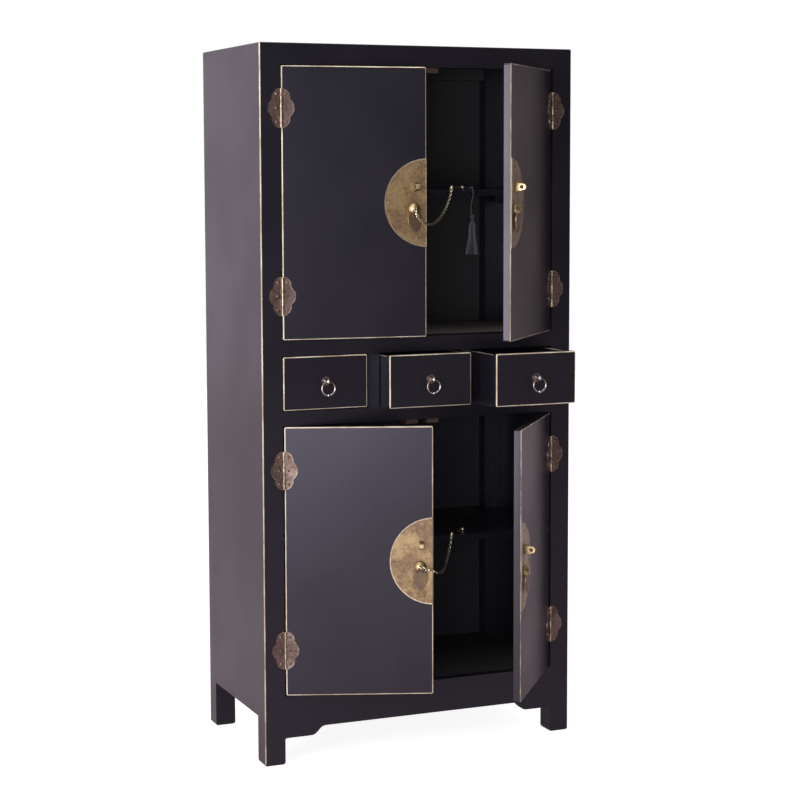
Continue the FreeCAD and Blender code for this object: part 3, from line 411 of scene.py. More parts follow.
def patinated(name, face, patch, pits, rim, rough, wax=0.0):
    """Metal with patches of patina, small pits and a rubbed rim: blotched and dull between bright edges,
    and darkened toward the pit colour where the rubbing is negative.
    """
    material, tree, shader, place = new_material(name, Metallic=1.0, Coat_Weight=wax, Coat_Roughness=0.3)
    wear_and_painted_light = node(tree, "ShaderNodeAttribute", attribute_name=WEAR_AND_PAINTED_LIGHT).outputs["Fac"]
    blotches = speckle(tree, place, 30, 4, 0.38, 0.62)
    fine = speckle(tree, place, 5, 4, 0.36, 0.68)
    pitted = speckle(tree, place, 2.2, 2, 0.64, 0.76)
    patches = sums(tree, (blotches, 0.6), (fine, 0.4))
    mottled = node(tree, "ShaderNodeMix", {"Factor": patches, 6: linear(face), 7: linear(patch)},
                   data_type="RGBA").outputs[2]
    # Pits, and darkening toward the pit colour where the rubbing is negative: painted shade at the feet of
    # lugs and bosses
    pits_and_shade = sums(tree, (pitted, 0.75), (wear_and_painted_light, -1.0))
    pitted_and_shaded = node(tree, "ShaderNodeMix", {"Factor": pits_and_shade, 6: mottled, 7: linear(pits)},
                   data_type="RGBA").outputs[2]
    uneven = sums(tree, (wear_and_painted_light, 1.0), (fine, -0.35))
    rubbed = node(tree, "ShaderNodeMapRange", {"Value": uneven, "From Min": 0.15,
                                               "From Max": 0.75}).outputs["Result"]
    base = node(tree, "ShaderNodeMix", {"Factor": rubbed, 6: pitted_and_shaded, 7: linear(rim)}, data_type="RGBA")
    dull = sums(tree, (blotches, 0.12), (pitted, 0.2), (rubbed, -0.1), (1.0, rough))
    height = sums(tree, (fine, 0.4), (pitted, -1.0))
    bump = node(tree, "ShaderNodeBump", {"Height": height, "Strength": 0.22, "Distance": 0.0003})
    feed(shader, Base_Color=base.outputs[2], Roughness=dull, Normal=bump.outputs["Normal"])
    return material


def aged_brass(colours):
    """Rolled brass, chemically aged, waxed and rubbed back at its rim: warm, blotched, grey at a slant."""
    return patinated("aged_brass_plate", colours.brass, colours.brass_dark, colours.brass_pits,
                     colours.brass_rim, 0.48, 0.9)


def hinge_brass(colours):
    """The same plate left darker, as on the hinges, with a bright barrel and rim."""
    return patinated("dark_hinge_brass", colours.hinge, colours.hinge_dark, colours.brass_pits,
                     colours.brass_rim, 0.42)


def bright_brass(colours):
    """Cast brass, polished by handling: light and warm, with painted shade at its foot."""
    return patinated("polished_cast_brass", colours.bright, colours.brass, colours.brass_pits,
                     colours.brass_rim, 0.36)


def chain_brass(colours):
    """Brass chain: the middles of its links worn pale, the hollows between them painted nearly black as
    shade.
    """
    return patinated("worn_chain_brass_painted_shade", colours.hollow_shade, colours.hollow_shade, colours.hollow_shade,
                     colours.chain, 0.45)


def dark_brass(colours):
    """Stamped brass, antiqued nearly brown, with a rubbed rim."""
    return patinated("antiqued_stamped_brass", colours.dark, colours.hinge_dark, colours.brass_pits,
                     colours.bright, 0.38, 0.4)


def ring_silver(colours):
    """White bronze wire, greyed in its hollows and bright where fingers rub it."""
    return patinated("rubbed_white_bronze", colours.silver, colours.brass_dark, colours.brass_pits,
                     colours.steel, 0.25)


def zinc_steel(colours):
    """Zinc-plated steel strip: grey, with fine drawing scratches along it."""
    material, tree, shader, place = new_material("zinc_plated_steel", Metallic=1.0)
    along = node(tree, "ShaderNodeMapping", {"Vector": place, "Scale": (0.1, 0.1, 1.0)}).outputs["Vector"]
    scratches = speckle(tree, along, 0.8, 2, 0.3, 0.7)
    base = node(tree, "ShaderNodeMix", {"Factor": scratches, 6: linear(colours.steel),
                                        7: shaded(colours.steel, 0.6)}, data_type="RGBA")
    rough = node(tree, "ShaderNodeMapRange", {"Value": scratches, "To Min": 0.28, "To Max": 0.42})
    feed(shader, Base_Color=base.outputs[2], Roughness=rough.outputs["Result"])
    return material


def catch_plastic(colours):
    """Moulded brown ABS: an even satin with the fine grain of the mould."""
    material, tree, shader, place = new_material("moulded_brown_abs", IOR=1.53)
    grain = speckle(tree, place, 0.9, 2, 0.3, 0.7)
    base = node(tree, "ShaderNodeMix", {"Factor": grain, 6: linear(colours.plastic),
                                        7: shaded(colours.plastic, 0.75)}, data_type="RGBA")
    rough = node(tree, "ShaderNodeMapRange", {"Value": grain, "To Min": 0.42, "To Max": 0.52})
    bump = node(tree, "ShaderNodeBump", {"Height": grain, "Strength": 0.1, "Distance": 0.0002})
    feed(shader, Base_Color=base.outputs[2], Roughness=rough.outputs["Result"],
         Normal=bump.outputs["Normal"])
    return material


def viscose_yarn(colours):
    """Twisted viscose yarn: dark grey with a silky sheen and lighter fibres."""
    material, tree, shader, place = new_material("dark_viscose_yarn", IOR=1.5, Roughness=0.55,
                                                 Sheen_Weight=0.35)
    along = node(tree, "ShaderNodeMapping", {"Vector": place, "Scale": (1.0, 1.0, 0.12)}).outputs["Vector"]
    fibres = speckle(tree, along, 1.1, 3, 0.3, 0.7)
    base = node(tree, "ShaderNodeMix", {"Factor": fibres, 6: linear(colours.yarn),
                                        7: shaded(colours.yarn, 1.9)}, data_type="RGBA")
    bump = node(tree, "ShaderNodeBump", {"Height": fibres, "Strength": 0.3, "Distance": 0.0003})
    feed(shader, Base_Color=base.outputs[2], Normal=bump.outputs["Normal"])
    return material


FINISHES = {
    "satin_black_lacquer": satin_lacquer,
    "thin_inner_lacquer": inner_lacquer,
    "aged_brass_plate": aged_brass,
    "dark_hinge_brass": hinge_brass,
    "polished_cast_brass": bright_brass,
    "worn_chain_brass_painted_shade": chain_brass,
    "antiqued_stamped_brass": dark_brass,
    "rubbed_white_bronze": ring_silver,
    "zinc_plated_steel": zinc_steel,
    "moulded_brown_abs": catch_plastic,
    "dark_viscose_yarn": viscose_yarn,
}


def near(a, b):
    return abs(a - b) < SAME_PLACE


def alone(piece):
    """Makes a piece the only one selected."""
    bpy.ops.object.select_all(action="DESELECT")
    piece.select_set(True)
    bpy.context.view_layer.objects.active = piece


def choose(piece, kind, test):
    """Enters edit mode with just the points, edges or faces selected whose corners all pass a test."""
    alone(piece)
    bpy.ops.object.mode_set(mode="EDIT")
    bpy.ops.mesh.select_mode(type=kind)
    bpy.ops.mesh.select_all(action="DESELECT")
    done()
    mesh = piece.data
    passed = [test(v.co) for v in mesh.vertices]
    if kind == "VERT":
        for point, ok in zip(mesh.vertices, passed):
            point.select = ok
    else:
        for item in mesh.edges if kind == "EDGE" else mesh.polygons:
            item.select = all(passed[i] for i in item.vertices)
    bpy.ops.object.mode_set(mode="EDIT")


def done():
    """Leaves edit mode."""
    bpy.ops.object.mode_set(mode="OBJECT")


def inset(width, depth=0.0):
    """Insets the chosen faces, and moves them out by a depth."""
    bpy.ops.mesh.inset(thickness=width, depth=depth, use_even_offset=True)


def ease(piece, test, radius, segments=2):
    """Rounds the edges that pass a test."""
    choose(piece, "EDGE", test)
    bpy.ops.mesh.bevel(offset=radius, segments=segments, profile=0.5, affect="EDGES", clamp_overlap=True)
    done()


def block(name, low, high):
    """A box between two corners, to be shaped further."""
    bpy.ops.object.select_all(action="DESELECT")
    low, high = Vector(low), Vector(high)
    bpy.ops.mesh.primitive_cube_add(size=1, location=(low + high) / 2)
    piece = bpy.context.object
    piece.name = name
    piece.scale = high - low
    bpy.ops.object.transform_apply()
    return piece


def added(name, data):
    """A new object in the scene with that mesh or curve."""
    piece = bpy.data.objects.new(name, data)
    bpy.context.collection.objects.link(piece)
    return piece


def copy_of(source, ending):
    """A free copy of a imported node, its loose triangles joined into clean faces."""
    piece = added(source + ending, frame["nodes"][source].data.copy())
    piece.data.materials.clear()
    alone(piece)
    bpy.ops.mesh.customdata_custom_splitnormals_clear()
    bpy.ops.object.mode_set(mode="EDIT")
    bpy.ops.mesh.select_all(action="SELECT")
    bpy.ops.mesh.remove_doubles(threshold=SAME_PLACE / 10)
    bpy.ops.mesh.dissolve_limited(angle_limit=FLAT_ANGLE)
    done()
    return piece


def moved(piece, matrix):
    """Puts a piece somewhere else and leaves its object at the origin."""
    alone(piece)
    piece.matrix_world = matrix
    bpy.ops.object.transform_apply()
    return piece


def shut_copy(source, ending, turn):
    """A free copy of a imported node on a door, turned back to where the door is shut."""
    return moved(copy_of(source, ending), turn.inverted())


def joined(name, pieces):
    """Several pieces as one object."""
    alone(pieces[0])
    for piece in pieces[1:]:
        piece.select_set(True)
    bpy.ops.object.join()
    pieces[0].name = name
    return pieces[0]


def turned(name, rows, steps):
    """A round piece turned about the upright axis from a profile of radius and height."""
    mesh = bpy.data.meshes.new(name)
    mesh.from_pydata([(r, 0, z) for r, z in rows], [(i, i + 1) for i in range(len(rows) - 1)], [])
    piece = added(name, mesh)
    choose(piece, "VERT", lambda p: True)
    bpy.ops.mesh.spin(steps=steps, angle=2 * math.pi, center=(0, 0, 0), axis=(0, 0, 1))
    bpy.ops.mesh.select_all(action="SELECT")
    bpy.ops.mesh.remove_doubles(threshold=SAME_PLACE)
    bpy.ops.mesh.normals_make_consistent(inside=False)
    done()
    return piece


def loose_parts(piece):
    """The separate shells of a piece, each as an object."""
    alone(piece)
    bpy.ops.mesh.separate(type="LOOSE")
    return list(bpy.context.selected_objects)


def smooth(piece):
    """Shades round parts smooth, and keeps flat faces flat beside their rounded edges."""
    alone(piece)
    bpy.ops.object.shade_smooth_by_angle(angle=SMOOTH_ANGLE)
    weighted = piece.modifiers.new("Flat faces", "WEIGHTED_NORMAL")
    weighted.keep_sharp = True
    bpy.ops.object.modifier_apply(modifier=weighted.name)


def paint(piece, amount):
    """Stores how far each point is rubbed bright, or below 0 how much it is darkened; in places these are
    painted highlight and painted shade.
    """
    layer = piece.data.attributes.get(WEAR_AND_PAINTED_LIGHT) or piece.data.attributes.new(WEAR_AND_PAINTED_LIGHT, "FLOAT", "POINT")
    for point in piece.data.vertices:
        layer.data[point.index].value = amount(point)


def seat(piece, body, slot, finish_name, *nodes):
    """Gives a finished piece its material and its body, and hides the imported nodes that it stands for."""
    smooth(piece)
    if finish_name:
        piece.data.materials.clear()
        piece.data.materials.append(finish(finish_name))
    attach(piece, body)
    if nodes:
        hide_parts(*nodes)


def lacquered(piece, body, source):
    """Seats a piece in the black lacquer of the outside."""
    seat(piece, body, "black_lacquer", "satin_black_lacquer", source)


def repaint(finish_name, *nodes):
    """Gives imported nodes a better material."""
    for name in nodes:
        slots = frame["nodes"][name].data.materials
        slots.clear()
        slots.append(finish(finish_name))


def joint_of(body):
    return next(j for j in frame["joints"] if j["child"] == body)


def door_turn(door):
    """The turn about its hinge that takes a shut door to where it stands open."""
    joint = joint_of(door)
    hinge = Vector(joint["pos_m"])
    opening = math.radians(-joint["range_deg"][0])
    turn = Matrix.Rotation(joint["axis"][2] * opening, 4, "Z")
    return Matrix.Translation(hinge) @ turn @ Matrix.Translation(-hinge)


def rubbed_panel(name, low, high, sizes, edges):
    """A panel with its front edges rounded and rubbed, and its back edges just eased.

    Edges says how far the left, right, lower and upper edge is rubbed.
    """
    piece = block(name, low, high)
    for x in (low.x, high.x):
        for z in (low.z, high.z):
            ease(piece, lambda p: near(p.x, x) and near(p.z, z), sizes.corner_round, 3)
    ease(piece, lambda p: near(p.y, low.y), sizes.door_round, 4)
    ease(piece, lambda p: near(p.y, high.y), sizes.back_round)

    def amount(point):
        p = point.co
        if p.y < low.y + SAME_PLACE or p.y > low.y + sizes.door_round - SAME_PLACE:
            return 0.0
        reach = (p.x - low.x, high.x - p.x, p.z - low.z, high.z - p.z)
        return max(share for share, away in zip(edges, reach) if away < sizes.corner_round - SAME_PLACE)

    paint(piece, amount)
    return piece


def rimmed(piece, face_level, sizes, rim, proud):
    """Raises a rim round each flat face at a level in front.

    Rim and proud say how far a point of the rim, and of what stands proud of the face, is rubbed.
    """
    choose(piece, "FACE", lambda p: near(p.y, face_level))
    inset(sizes.rim_width)
    inset(sizes.rim_slope, -sizes.rim_depth)
    done()

    def amount(point):
        if point.select:
            return 0.0
        return proud(point.co) if point.co.y < face_level - SAME_PLACE else rim(point.co)

    paint(piece, amount)


def domed_nails(piece, level, sizes):
    """Turns the flat tops of the nails at a level in front into low domes."""
    choose(piece, "FACE", lambda p: near(p.y, level))
    inset(sizes.nail_rise, sizes.nail_rise)
    inset(sizes.nail_rise, sizes.nail_rise / 2)
    done()


def plate_levels(piece):
    """The depth of a plate's face, the first in front of a door, and of all faces that look ahead."""
    levels = {round(p.center.y, 5) for p in piece.data.polygons if p.normal.y < STRAIGHT_AHEAD}
    return max(y for y in levels if y < FRONT - SAME_PLACE), levels


class CABINET_OT_carcass(bpy.types.Operator):
    """Lacquers the carcass: posts with rubbed corners and eased feet, top board, apron, rails and sides"""
    bl_idname = "cabinet.carcass"
    bl_label = "Carcass"

    def execute(self, context):
        sizes = context.scene.cabinet_sizes
        for group, outer_y in (("front_posts", 0), ("rear_posts", 1)):
            pieces = [self.post(group, side, outer_y, sizes) for side in (-1, 1)]
            lacquered(joined(group + "_lacquered", pieces), "carcass", group)
        self.top(sizes)
        apron = copy_of("front_apron", "_eased")
        low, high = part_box("front_apron")
        ease(apron, lambda p: near(p.y, low.y) and p.z < high.z - SAME_PLACE, sizes.apron_round)
        lacquered(apron, "carcass", "front_apron")
        repaint("satin_black_lacquer", "side_panels", "top_rail", "upper_mid_rail", "lower_mid_rail",
                "bottom_rail", "drawer_dividers")
        return {"FINISHED"}

    def post(self, group, side, outer_y, sizes):
        """One corner post: its outer corner rounded, its foot eased."""
        low, high = (Vector(p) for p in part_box(group))
        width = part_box("front_posts")[1].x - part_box("top_rail")[1].x
        if side < 0:
            high.x = low.x + width
        else:
            low.x = high.x - width
        outer = Vector((low.x if side < 0 else high.x, high.y if outer_y else low.y, 0))
        piece = block(group, low, high)
        ease(piece, lambda p: near(p.z, low.z), sizes.foot_round, 4)
        radius = sizes.rear_round if outer_y else sizes.post_round
        ease(piece, lambda p: near(p.x, outer.x) and near(p.y, outer.y), radius, 4)
        rubbed = side < 0 and not outer_y
        paint(piece, lambda point: corner_wear(point.co, outer, sizes.post_round) if rubbed else 0.0)
        return piece

    def top(self, sizes):
        """The top board, its front left corner rubbed as the post's is."""
        low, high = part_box("top_panel")
        piece = block("top_panel_lacquered", low, high)
        outer = Vector((low.x, low.y, 0))
        for x in (low.x, high.x):
            for y, radius in ((low.y, sizes.post_round), (high.y, sizes.rear_round)):
                ease(piece, lambda p: near(p.x, x) and near(p.y, y), radius, 4)
        ease(piece, lambda p: near(p.z, high.z), sizes.top_round, 3)
        paint(piece, lambda point: corner_wear(point.co, outer, sizes.post_round))
        lacquered(piece, "carcass", "top_panel")


def corner_wear(p, outer, radius):
    """Rubs the middle of a rounded upright corner, less towards the foot."""
    across, along = abs(p.x - outer.x), abs(p.y - outer.y)
    inside = SAME_PLACE < across < radius - SAME_PLACE and SAME_PLACE < along < radius - SAME_PLACE
    if not inside or p.z < FOOT_WEAR_END:
        return 0.0
    return POST_WEAR_LOW + (POST_WEAR_HIGH - POST_WEAR_LOW) * p.z / cad_high.z


class CABINET_OT_inside(bpy.types.Operator):
    """Lacquers the shelves, floors, back and drawer boxes"""
    bl_idname = "cabinet.inside"
    bl_label = "Inside"

    def execute(self, context):
        repaint("thin_inner_lacquer", "back_panel", "rear_rails", "drawer_deck", "upper_floor",
                "shelf_cleats", "drawer_guides", "bottom_board")
        repaint("satin_black_lacquer", "upper_shelf", "lower_shelf")
        radius = context.scene.cabinet_sizes.back_round
        for drawer in DRAWERS:
            source = drawer + "_box"
            box = copy_of(source, "_eased")
            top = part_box(source)[1].z
            ease(box, lambda p: near(p.z, top), radius)
            paint(box, lambda point: BOX_EDGE_RUB if point.co.z > top - radius + SAME_PLACE else 0.0)
            seat(box, drawer, "inner_lacquer", "satin_black_lacquer", source)
        return {"FINISHED"}


class CABINET_OT_catches(bpy.types.Operator):
    """Models the magnetic catches: moulded housings with two steel poles each"""
    bl_idname = "cabinet.catches"
    bl_label = "Catches"

    def execute(self, context):
        sizes = context.scene.cabinet_sizes
        parts = loose_parts(copy_of("magnet_catches", "_moulded"))
        tallest = max(part.dimensions.z for part in parts)
        for part in parts:
            is_pole = part.dimensions.z < tallest / 2
            ease(part, lambda p: True, sizes.brass_round if is_pole else sizes.back_round)
            part.data.materials.append(finish("zinc_plated_steel" if is_pole else "moulded_brown_abs"))
        seat(joined("magnet_catches_moulded", parts), "carcass", "catch_plastic", None, "magnet_catches")
        return {"FINISHED"}


class CABINET_OT_doors(bpy.types.Operator):
    """Models the four doors as slabs with rubbed front edges"""
    bl_idname = "cabinet.doors"
    bl_label = "Doors"

    def execute(self, context):
        sizes = context.scene.cabinet_sizes
        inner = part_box("top_rail")[1].x - sizes.door_gap
        for door in DOORS:
            bottom, top = (p.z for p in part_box(door))
            left = joint_of(door)["pos_m"][0] < 0
            ends = (-inner, -sizes.door_gap / 2) if left else (sizes.door_gap / 2, inner)
            low = Vector((ends[0], FRONT, bottom))
            high = Vector((ends[1], FRONT + sizes.door_thickness, top))
            piece = rubbed_panel(door + "_slab", low, high, sizes, DOOR_EDGES[door])
            lacquered(moved(piece, door_turn(door)), door, door)
        return {"FINISHED"}


class CABINET_OT_hinges(bpy.types.Operator):
    """Models the cloud-shaped hinge plates with raised rims, bright barrels and domed nails"""
    bl_idname = "cabinet.hinges"
    bl_label = "Hinges"

    def execute(self, context):
        sizes = context.scene.cabinet_sizes
        self.plates("frame_hinge_leaves", "carcass", Matrix.Identity(4), sizes)
        for door in DOORS:
            self.plates(door + "_hinge_leaves", door, door_turn(door), sizes)
        repaint("polished_cast_brass", "hinge_pins")
        return {"FINISHED"}

    def plates(self, source, body, turn, sizes):
        """The plates of one body."""
        piece = shut_copy(source, "_rimmed", turn)
        face, levels = plate_levels(piece)
        domed_nails(piece, min(y for y in levels if y > face - NAIL_HEIGHT - SAME_PLACE), sizes)
        # The front strip of a barrel is painted pale: rubbed, and a painted highlight
        barrel = min(p.co.y for p in piece.data.vertices) + sizes.barrel_radius / 2
        rimmed(piece, face, sizes, lambda p: HINGE_RIM_RUB, lambda p: BARREL_RUB_AND_HIGHLIGHT if p.y < barrel else 0.0)
        seat(moved(piece, turn), body, "aged_brass", "dark_hinge_brass", source)


class CABINET_OT_lock_plates(bpy.types.Operator):
    """Models the half-moon lock plates with raised rims and domed nails"""
    bl_idname = "cabinet.lock_plates"
    bl_label = "Lock plates"

    def execute(self, context):
        sizes = context.scene.cabinet_sizes
        for door in DOORS:
            source = door + "_lock_plate"
            turn = door_turn(door)
            piece = shut_copy(source, "_rimmed", turn)
            face, levels = plate_levels(piece)
            domed_nails(piece, min(levels), sizes)
            side = min(abs(v.co.x) for v in piece.data.vertices) + sizes.rim_width
            arc = PLATE_RIMS[door]
            # Darker along the plate's straight side and on its nails
            rimmed(piece, face, sizes, lambda p: SIDE_DARKENING if abs(p.x) < side else arc,
                   lambda p: NAIL_DARKENING)
            seat(moved(piece, turn), door, "aged_brass", "aged_brass_plate", source)
        return {"FINISHED"}


class CABINET_OT_lock_fittings(bpy.types.Operator):
    """Models the lugs, bosses and strike plates of the doors"""
    bl_idname = "cabinet.lock_fittings"
    bl_label = "Lock fittings"

    def execute(self, context):
        sizes = context.scene.cabinet_sizes
        for door in DOORS:
            source = door + "_lock_fittings"
            turn = door_turn(door)
            parts = loose_parts(shut_copy(source, "_eased", turn))
            for part in parts:
                is_strike = min(v.co.y for v in part.data.vertices) > FRONT
                bevel = part.modifiers.new("Edges", "BEVEL")
                bevel.width = sizes.brass_round
                bevel.segments = 2
                bevel.limit_method = "ANGLE"
                alone(part)
                bpy.ops.object.modifier_apply(modifier=bevel.name)
                self.paint_shade(part, LUG_FLANK_SHADE[door], sizes)
                metal = "zinc_plated_steel" if is_strike else "polished_cast_brass"
                part.data.materials.append(finish(metal))
            piece = moved(joined(source + "_eased", parts), turn)
            seat(piece, door, "bright_brass", None, source)
        return {"FINISHED"}

    def paint_shade(self, part, lug_shade, sizes):
        """Paints shade at the foot of a lug or boss, and on the flanks of a lug."""
        depths = [v.co.y for v in part.data.vertices]
        root, tip = max(depths) - sizes.shade_height, min(depths) + sizes.shade_height
        is_lug = part.dimensions.x < LUG_SLENDERNESS * part.dimensions.y

        # Painted shade at the root, and on the flanks of a lug
        def amount(point):
            if point.co.y > root:
                return ROOT_SHADE
            return lug_shade if is_lug and point.co.y > tip else 0.0

        paint(part, amount)


class CABINET_OT_drop_pulls(bpy.types.Operator):
    """Models the drop pulls with rubbed rims"""
    bl_idname = "cabinet.drop_pulls"
    bl_label = "Drop pulls"

    def execute(self, context):
        sizes = context.scene.cabinet_sizes
        for door in DOORS:
            source = door + "_drop_pull"
            turn = door_turn(door)
            piece = shut_copy(source, "_rimmed", turn)
            ahead = [p for p in piece.data.polygons if p.normal.y < STRAIGHT_AHEAD]
            front = max(ahead, key=lambda p: p.area).center.y
            rim = (front + SAME_PLACE, front + sizes.pull_round)
            choose(piece, "EDGE", lambda p: near(p.y, front))
            bpy.ops.mesh.bevel(offset=sizes.pull_round, segments=3, affect="EDGES")
            done()
            paint(piece, lambda point: PULL_RUB if rim[0] < point.co.y < rim[1] else 0.0)
            seat(moved(piece, turn), door + "_pull", "aged_brass", "antiqued_stamped_brass", source)
        return {"FINISHED"}


class CABINET_OT_drawer_fronts(bpy.types.Operator):
    """Models the drawer fronts with rubbed edges"""
    bl_idname = "cabinet.drawer_fronts"
    bl_label = "Drawer fronts"

    def execute(self, context):
        sizes = context.scene.cabinet_sizes
        for drawer in DRAWERS:
            source = drawer + "_front"
            piece = rubbed_panel(source + "_panel", *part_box(source), sizes, DRAWER_EDGES[drawer])
            lacquered(piece, drawer, source)
        return {"FINISHED"}


class CABINET_OT_ring_pulls(bpy.types.Operator):
    """Finishes the ring pulls of the drawers"""
    bl_idname = "cabinet.ring_pulls"
    bl_label = "Ring pulls"

    def execute(self, context):
        sizes = context.scene.cabinet_sizes
        for drawer in DRAWERS:
            source = drawer + "_knob"
            knob = copy_of(source, "_dished")
            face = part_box(source)[1].y - sizes.rosette_thickness
            choose(knob, "FACE", lambda p: near(p.y, face))
            inset(sizes.rosette_rim)
            inset(sizes.rosette_rim / 2, -sizes.rosette_rim)
            done()
            paint(knob, lambda point: 0.0 if point.select else ROSETTE_RUB)
            seat(knob, drawer, "dark_brass", "rubbed_white_bronze", source)
            source = drawer + "_ring"
            ring = copy_of(source, "_rubbed")
            low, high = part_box(source)
            paint(ring, lambda point: (high.z - point.co.z) / (high.z - low.z))
            seat(ring, drawer + "_ring_body", "dark_brass", "rubbed_white_bronze", source)
        return {"FINISHED"}


def lines(name, routes, steps):
    """Smooth open lines with the places of each route as control points, in steps from one to the next."""
    curve = bpy.data.curves.new(name, "CURVE")
    curve.dimensions = "3D"
    for route in routes:
        spline = curve.splines.new("NURBS")
        spline.points.add(len(route) - 1)
        for point, place in zip(spline.points, route):
            point.co = (*place, 1.0)
        spline.order_u = 3
        spline.use_endpoint_u = True
        spline.resolution_u = steps
    return added(name, curve)


def thicken(piece, radius, roundness):
    """Makes lines into round threads with closed ends."""
    piece.data.bevel_depth = radius
    piece.data.bevel_resolution = roundness
    piece.data.use_fill_caps = True


def points_on(curve_piece):
    """Points read from a line that has no thickness yet."""
    mesh = bpy.data.meshes.new_from_object(curve_piece)
    points = [v.co.copy() for v in mesh.vertices]
    bpy.data.meshes.remove(mesh)
    return points


def run_of(points):
    """The length of a line of points."""
    return sum((b - a).length for a, b in zip(points, points[1:]))


def steps_along(points, pitch):
    """Places and directions at even steps along a line of points."""
    found = []
    due = pitch / 2
    gone = 0.0
    for a, b in zip(points, points[1:]):
        run = (b - a).length
        while due <= gone + run:
            found.append((a.lerp(b, (due - gone) / run), (b - a).normalized()))
            due += pitch
        gone += run
    return found


class CABINET_OT_chains(bpy.types.Operator):
    """Models the two chains link by link, with their lock pins"""
    bl_idname = "cabinet.chains"
    bl_label = "Chains and pins"

    def execute(self, context):
        sizes = context.scene.cabinet_sizes
        for level, route in (("upper", UPPER_CHAIN_ROUTE), ("lower", LOWER_CHAIN_ROUTE)):
            door = level + "_left_door"
            guide = lines(level + "_chain_guide", [route], ROUTE_STEPS)
            points = points_on(guide)
            bpy.data.objects.remove(guide)
            chain = self.links(level + "_chain_links", points, sizes)
            seat(chain, door, "bright_brass", "worn_chain_brass_painted_shade", level + "_chain")
            pin = self.pin(level + "_lock_pin", sizes)
            seat(pin, door, "bright_brass", "worn_chain_brass_painted_shade", level + "_lock_pin")
            total = run_of(points)
        return {"FINISHED"}

    def links(self, name, points, sizes):
        """Oval links, each a quarter turn on from the last, along a line of points."""
        ring = sizes.chain_diameter / 2 - sizes.wire_radius
        bpy.ops.object.select_all(action="DESELECT")
        bpy.ops.mesh.primitive_torus_add(major_radius=ring, minor_radius=sizes.wire_radius,
                                         major_segments=12, minor_segments=5)
        link = bpy.context.object
        # The middle of each side is worn pale, and the ends, where links nest, are painted dark as shade
        paint(link, lambda point: LINK_RUB - LINK_END_SHADE * abs(point.co.x) / point.co.xy.length)
        link.scale = ((sizes.link_pitch / 2 + 2 * sizes.wire_radius) / (ring + sizes.wire_radius), 1, 1)
        bpy.ops.object.transform_apply()
        copies = []
        steps = steps_along(points, sizes.link_pitch)
        for i, (place, along) in enumerate(steps):
            turn = along.to_track_quat("X", "Z").to_matrix().to_4x4()
            twist = Matrix.Rotation(math.radians(45 + 90 * (i % 2)), 4, "X")
            is_end = i in (0, len(steps) - 1)
            size = Matrix.Scale(END_RING if is_end else 1.0, 4)
            copy = added(name, link.data.copy())
            if is_end:
                paint(copy, lambda point: END_RING_RUB)
            copy.data.transform(Matrix.Translation(place) @ turn @ twist @ size)
            copies.append(copy)
        bpy.data.objects.remove(link)
        return joined(name, copies)

    def pin(self, source, sizes):
        """A turned pin: ball head, waist, collars and a round end."""
        low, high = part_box(source)
        head = Vector((low.x + sizes.pin_head, low.y + sizes.pin_head, (low.z + high.z) / 2))
        far = Vector((high.x, high.y, head.z)) - head
        along = (far.x + far.y) / math.sqrt(2)
        tip = along - PIN_END_MARGIN
        angles = [math.radians(i * PIN_BALL_SWEEP / PIN_BALL_STEPS) for i in range(PIN_BALL_STEPS + 1)]
        rows = [(sizes.pin_head * math.sin(a), -sizes.pin_head * math.cos(a)) for a in angles]
        for radius, back in PIN_PROFILE:
            rows.append((radius, tip - back if back >= 0 else -back))
        rows.sort(key=lambda row: row[1])
        heading = Vector((1, 1, 0)).to_track_quat("Z", "X").to_matrix().to_4x4()
        pin = turned(source + "_turned", rows, PIN_SIDES)
        # The ball and the end are painted fully pale: worn, and on the end a painted highlight where it
        # lies in shade
        paint(pin, lambda point: PIN_RUB if sizes.pin_head < point.co.z < tip - PIN_END_LENGTH else 1.0)
        return moved(pin, Matrix.Translation(head) @ heading)


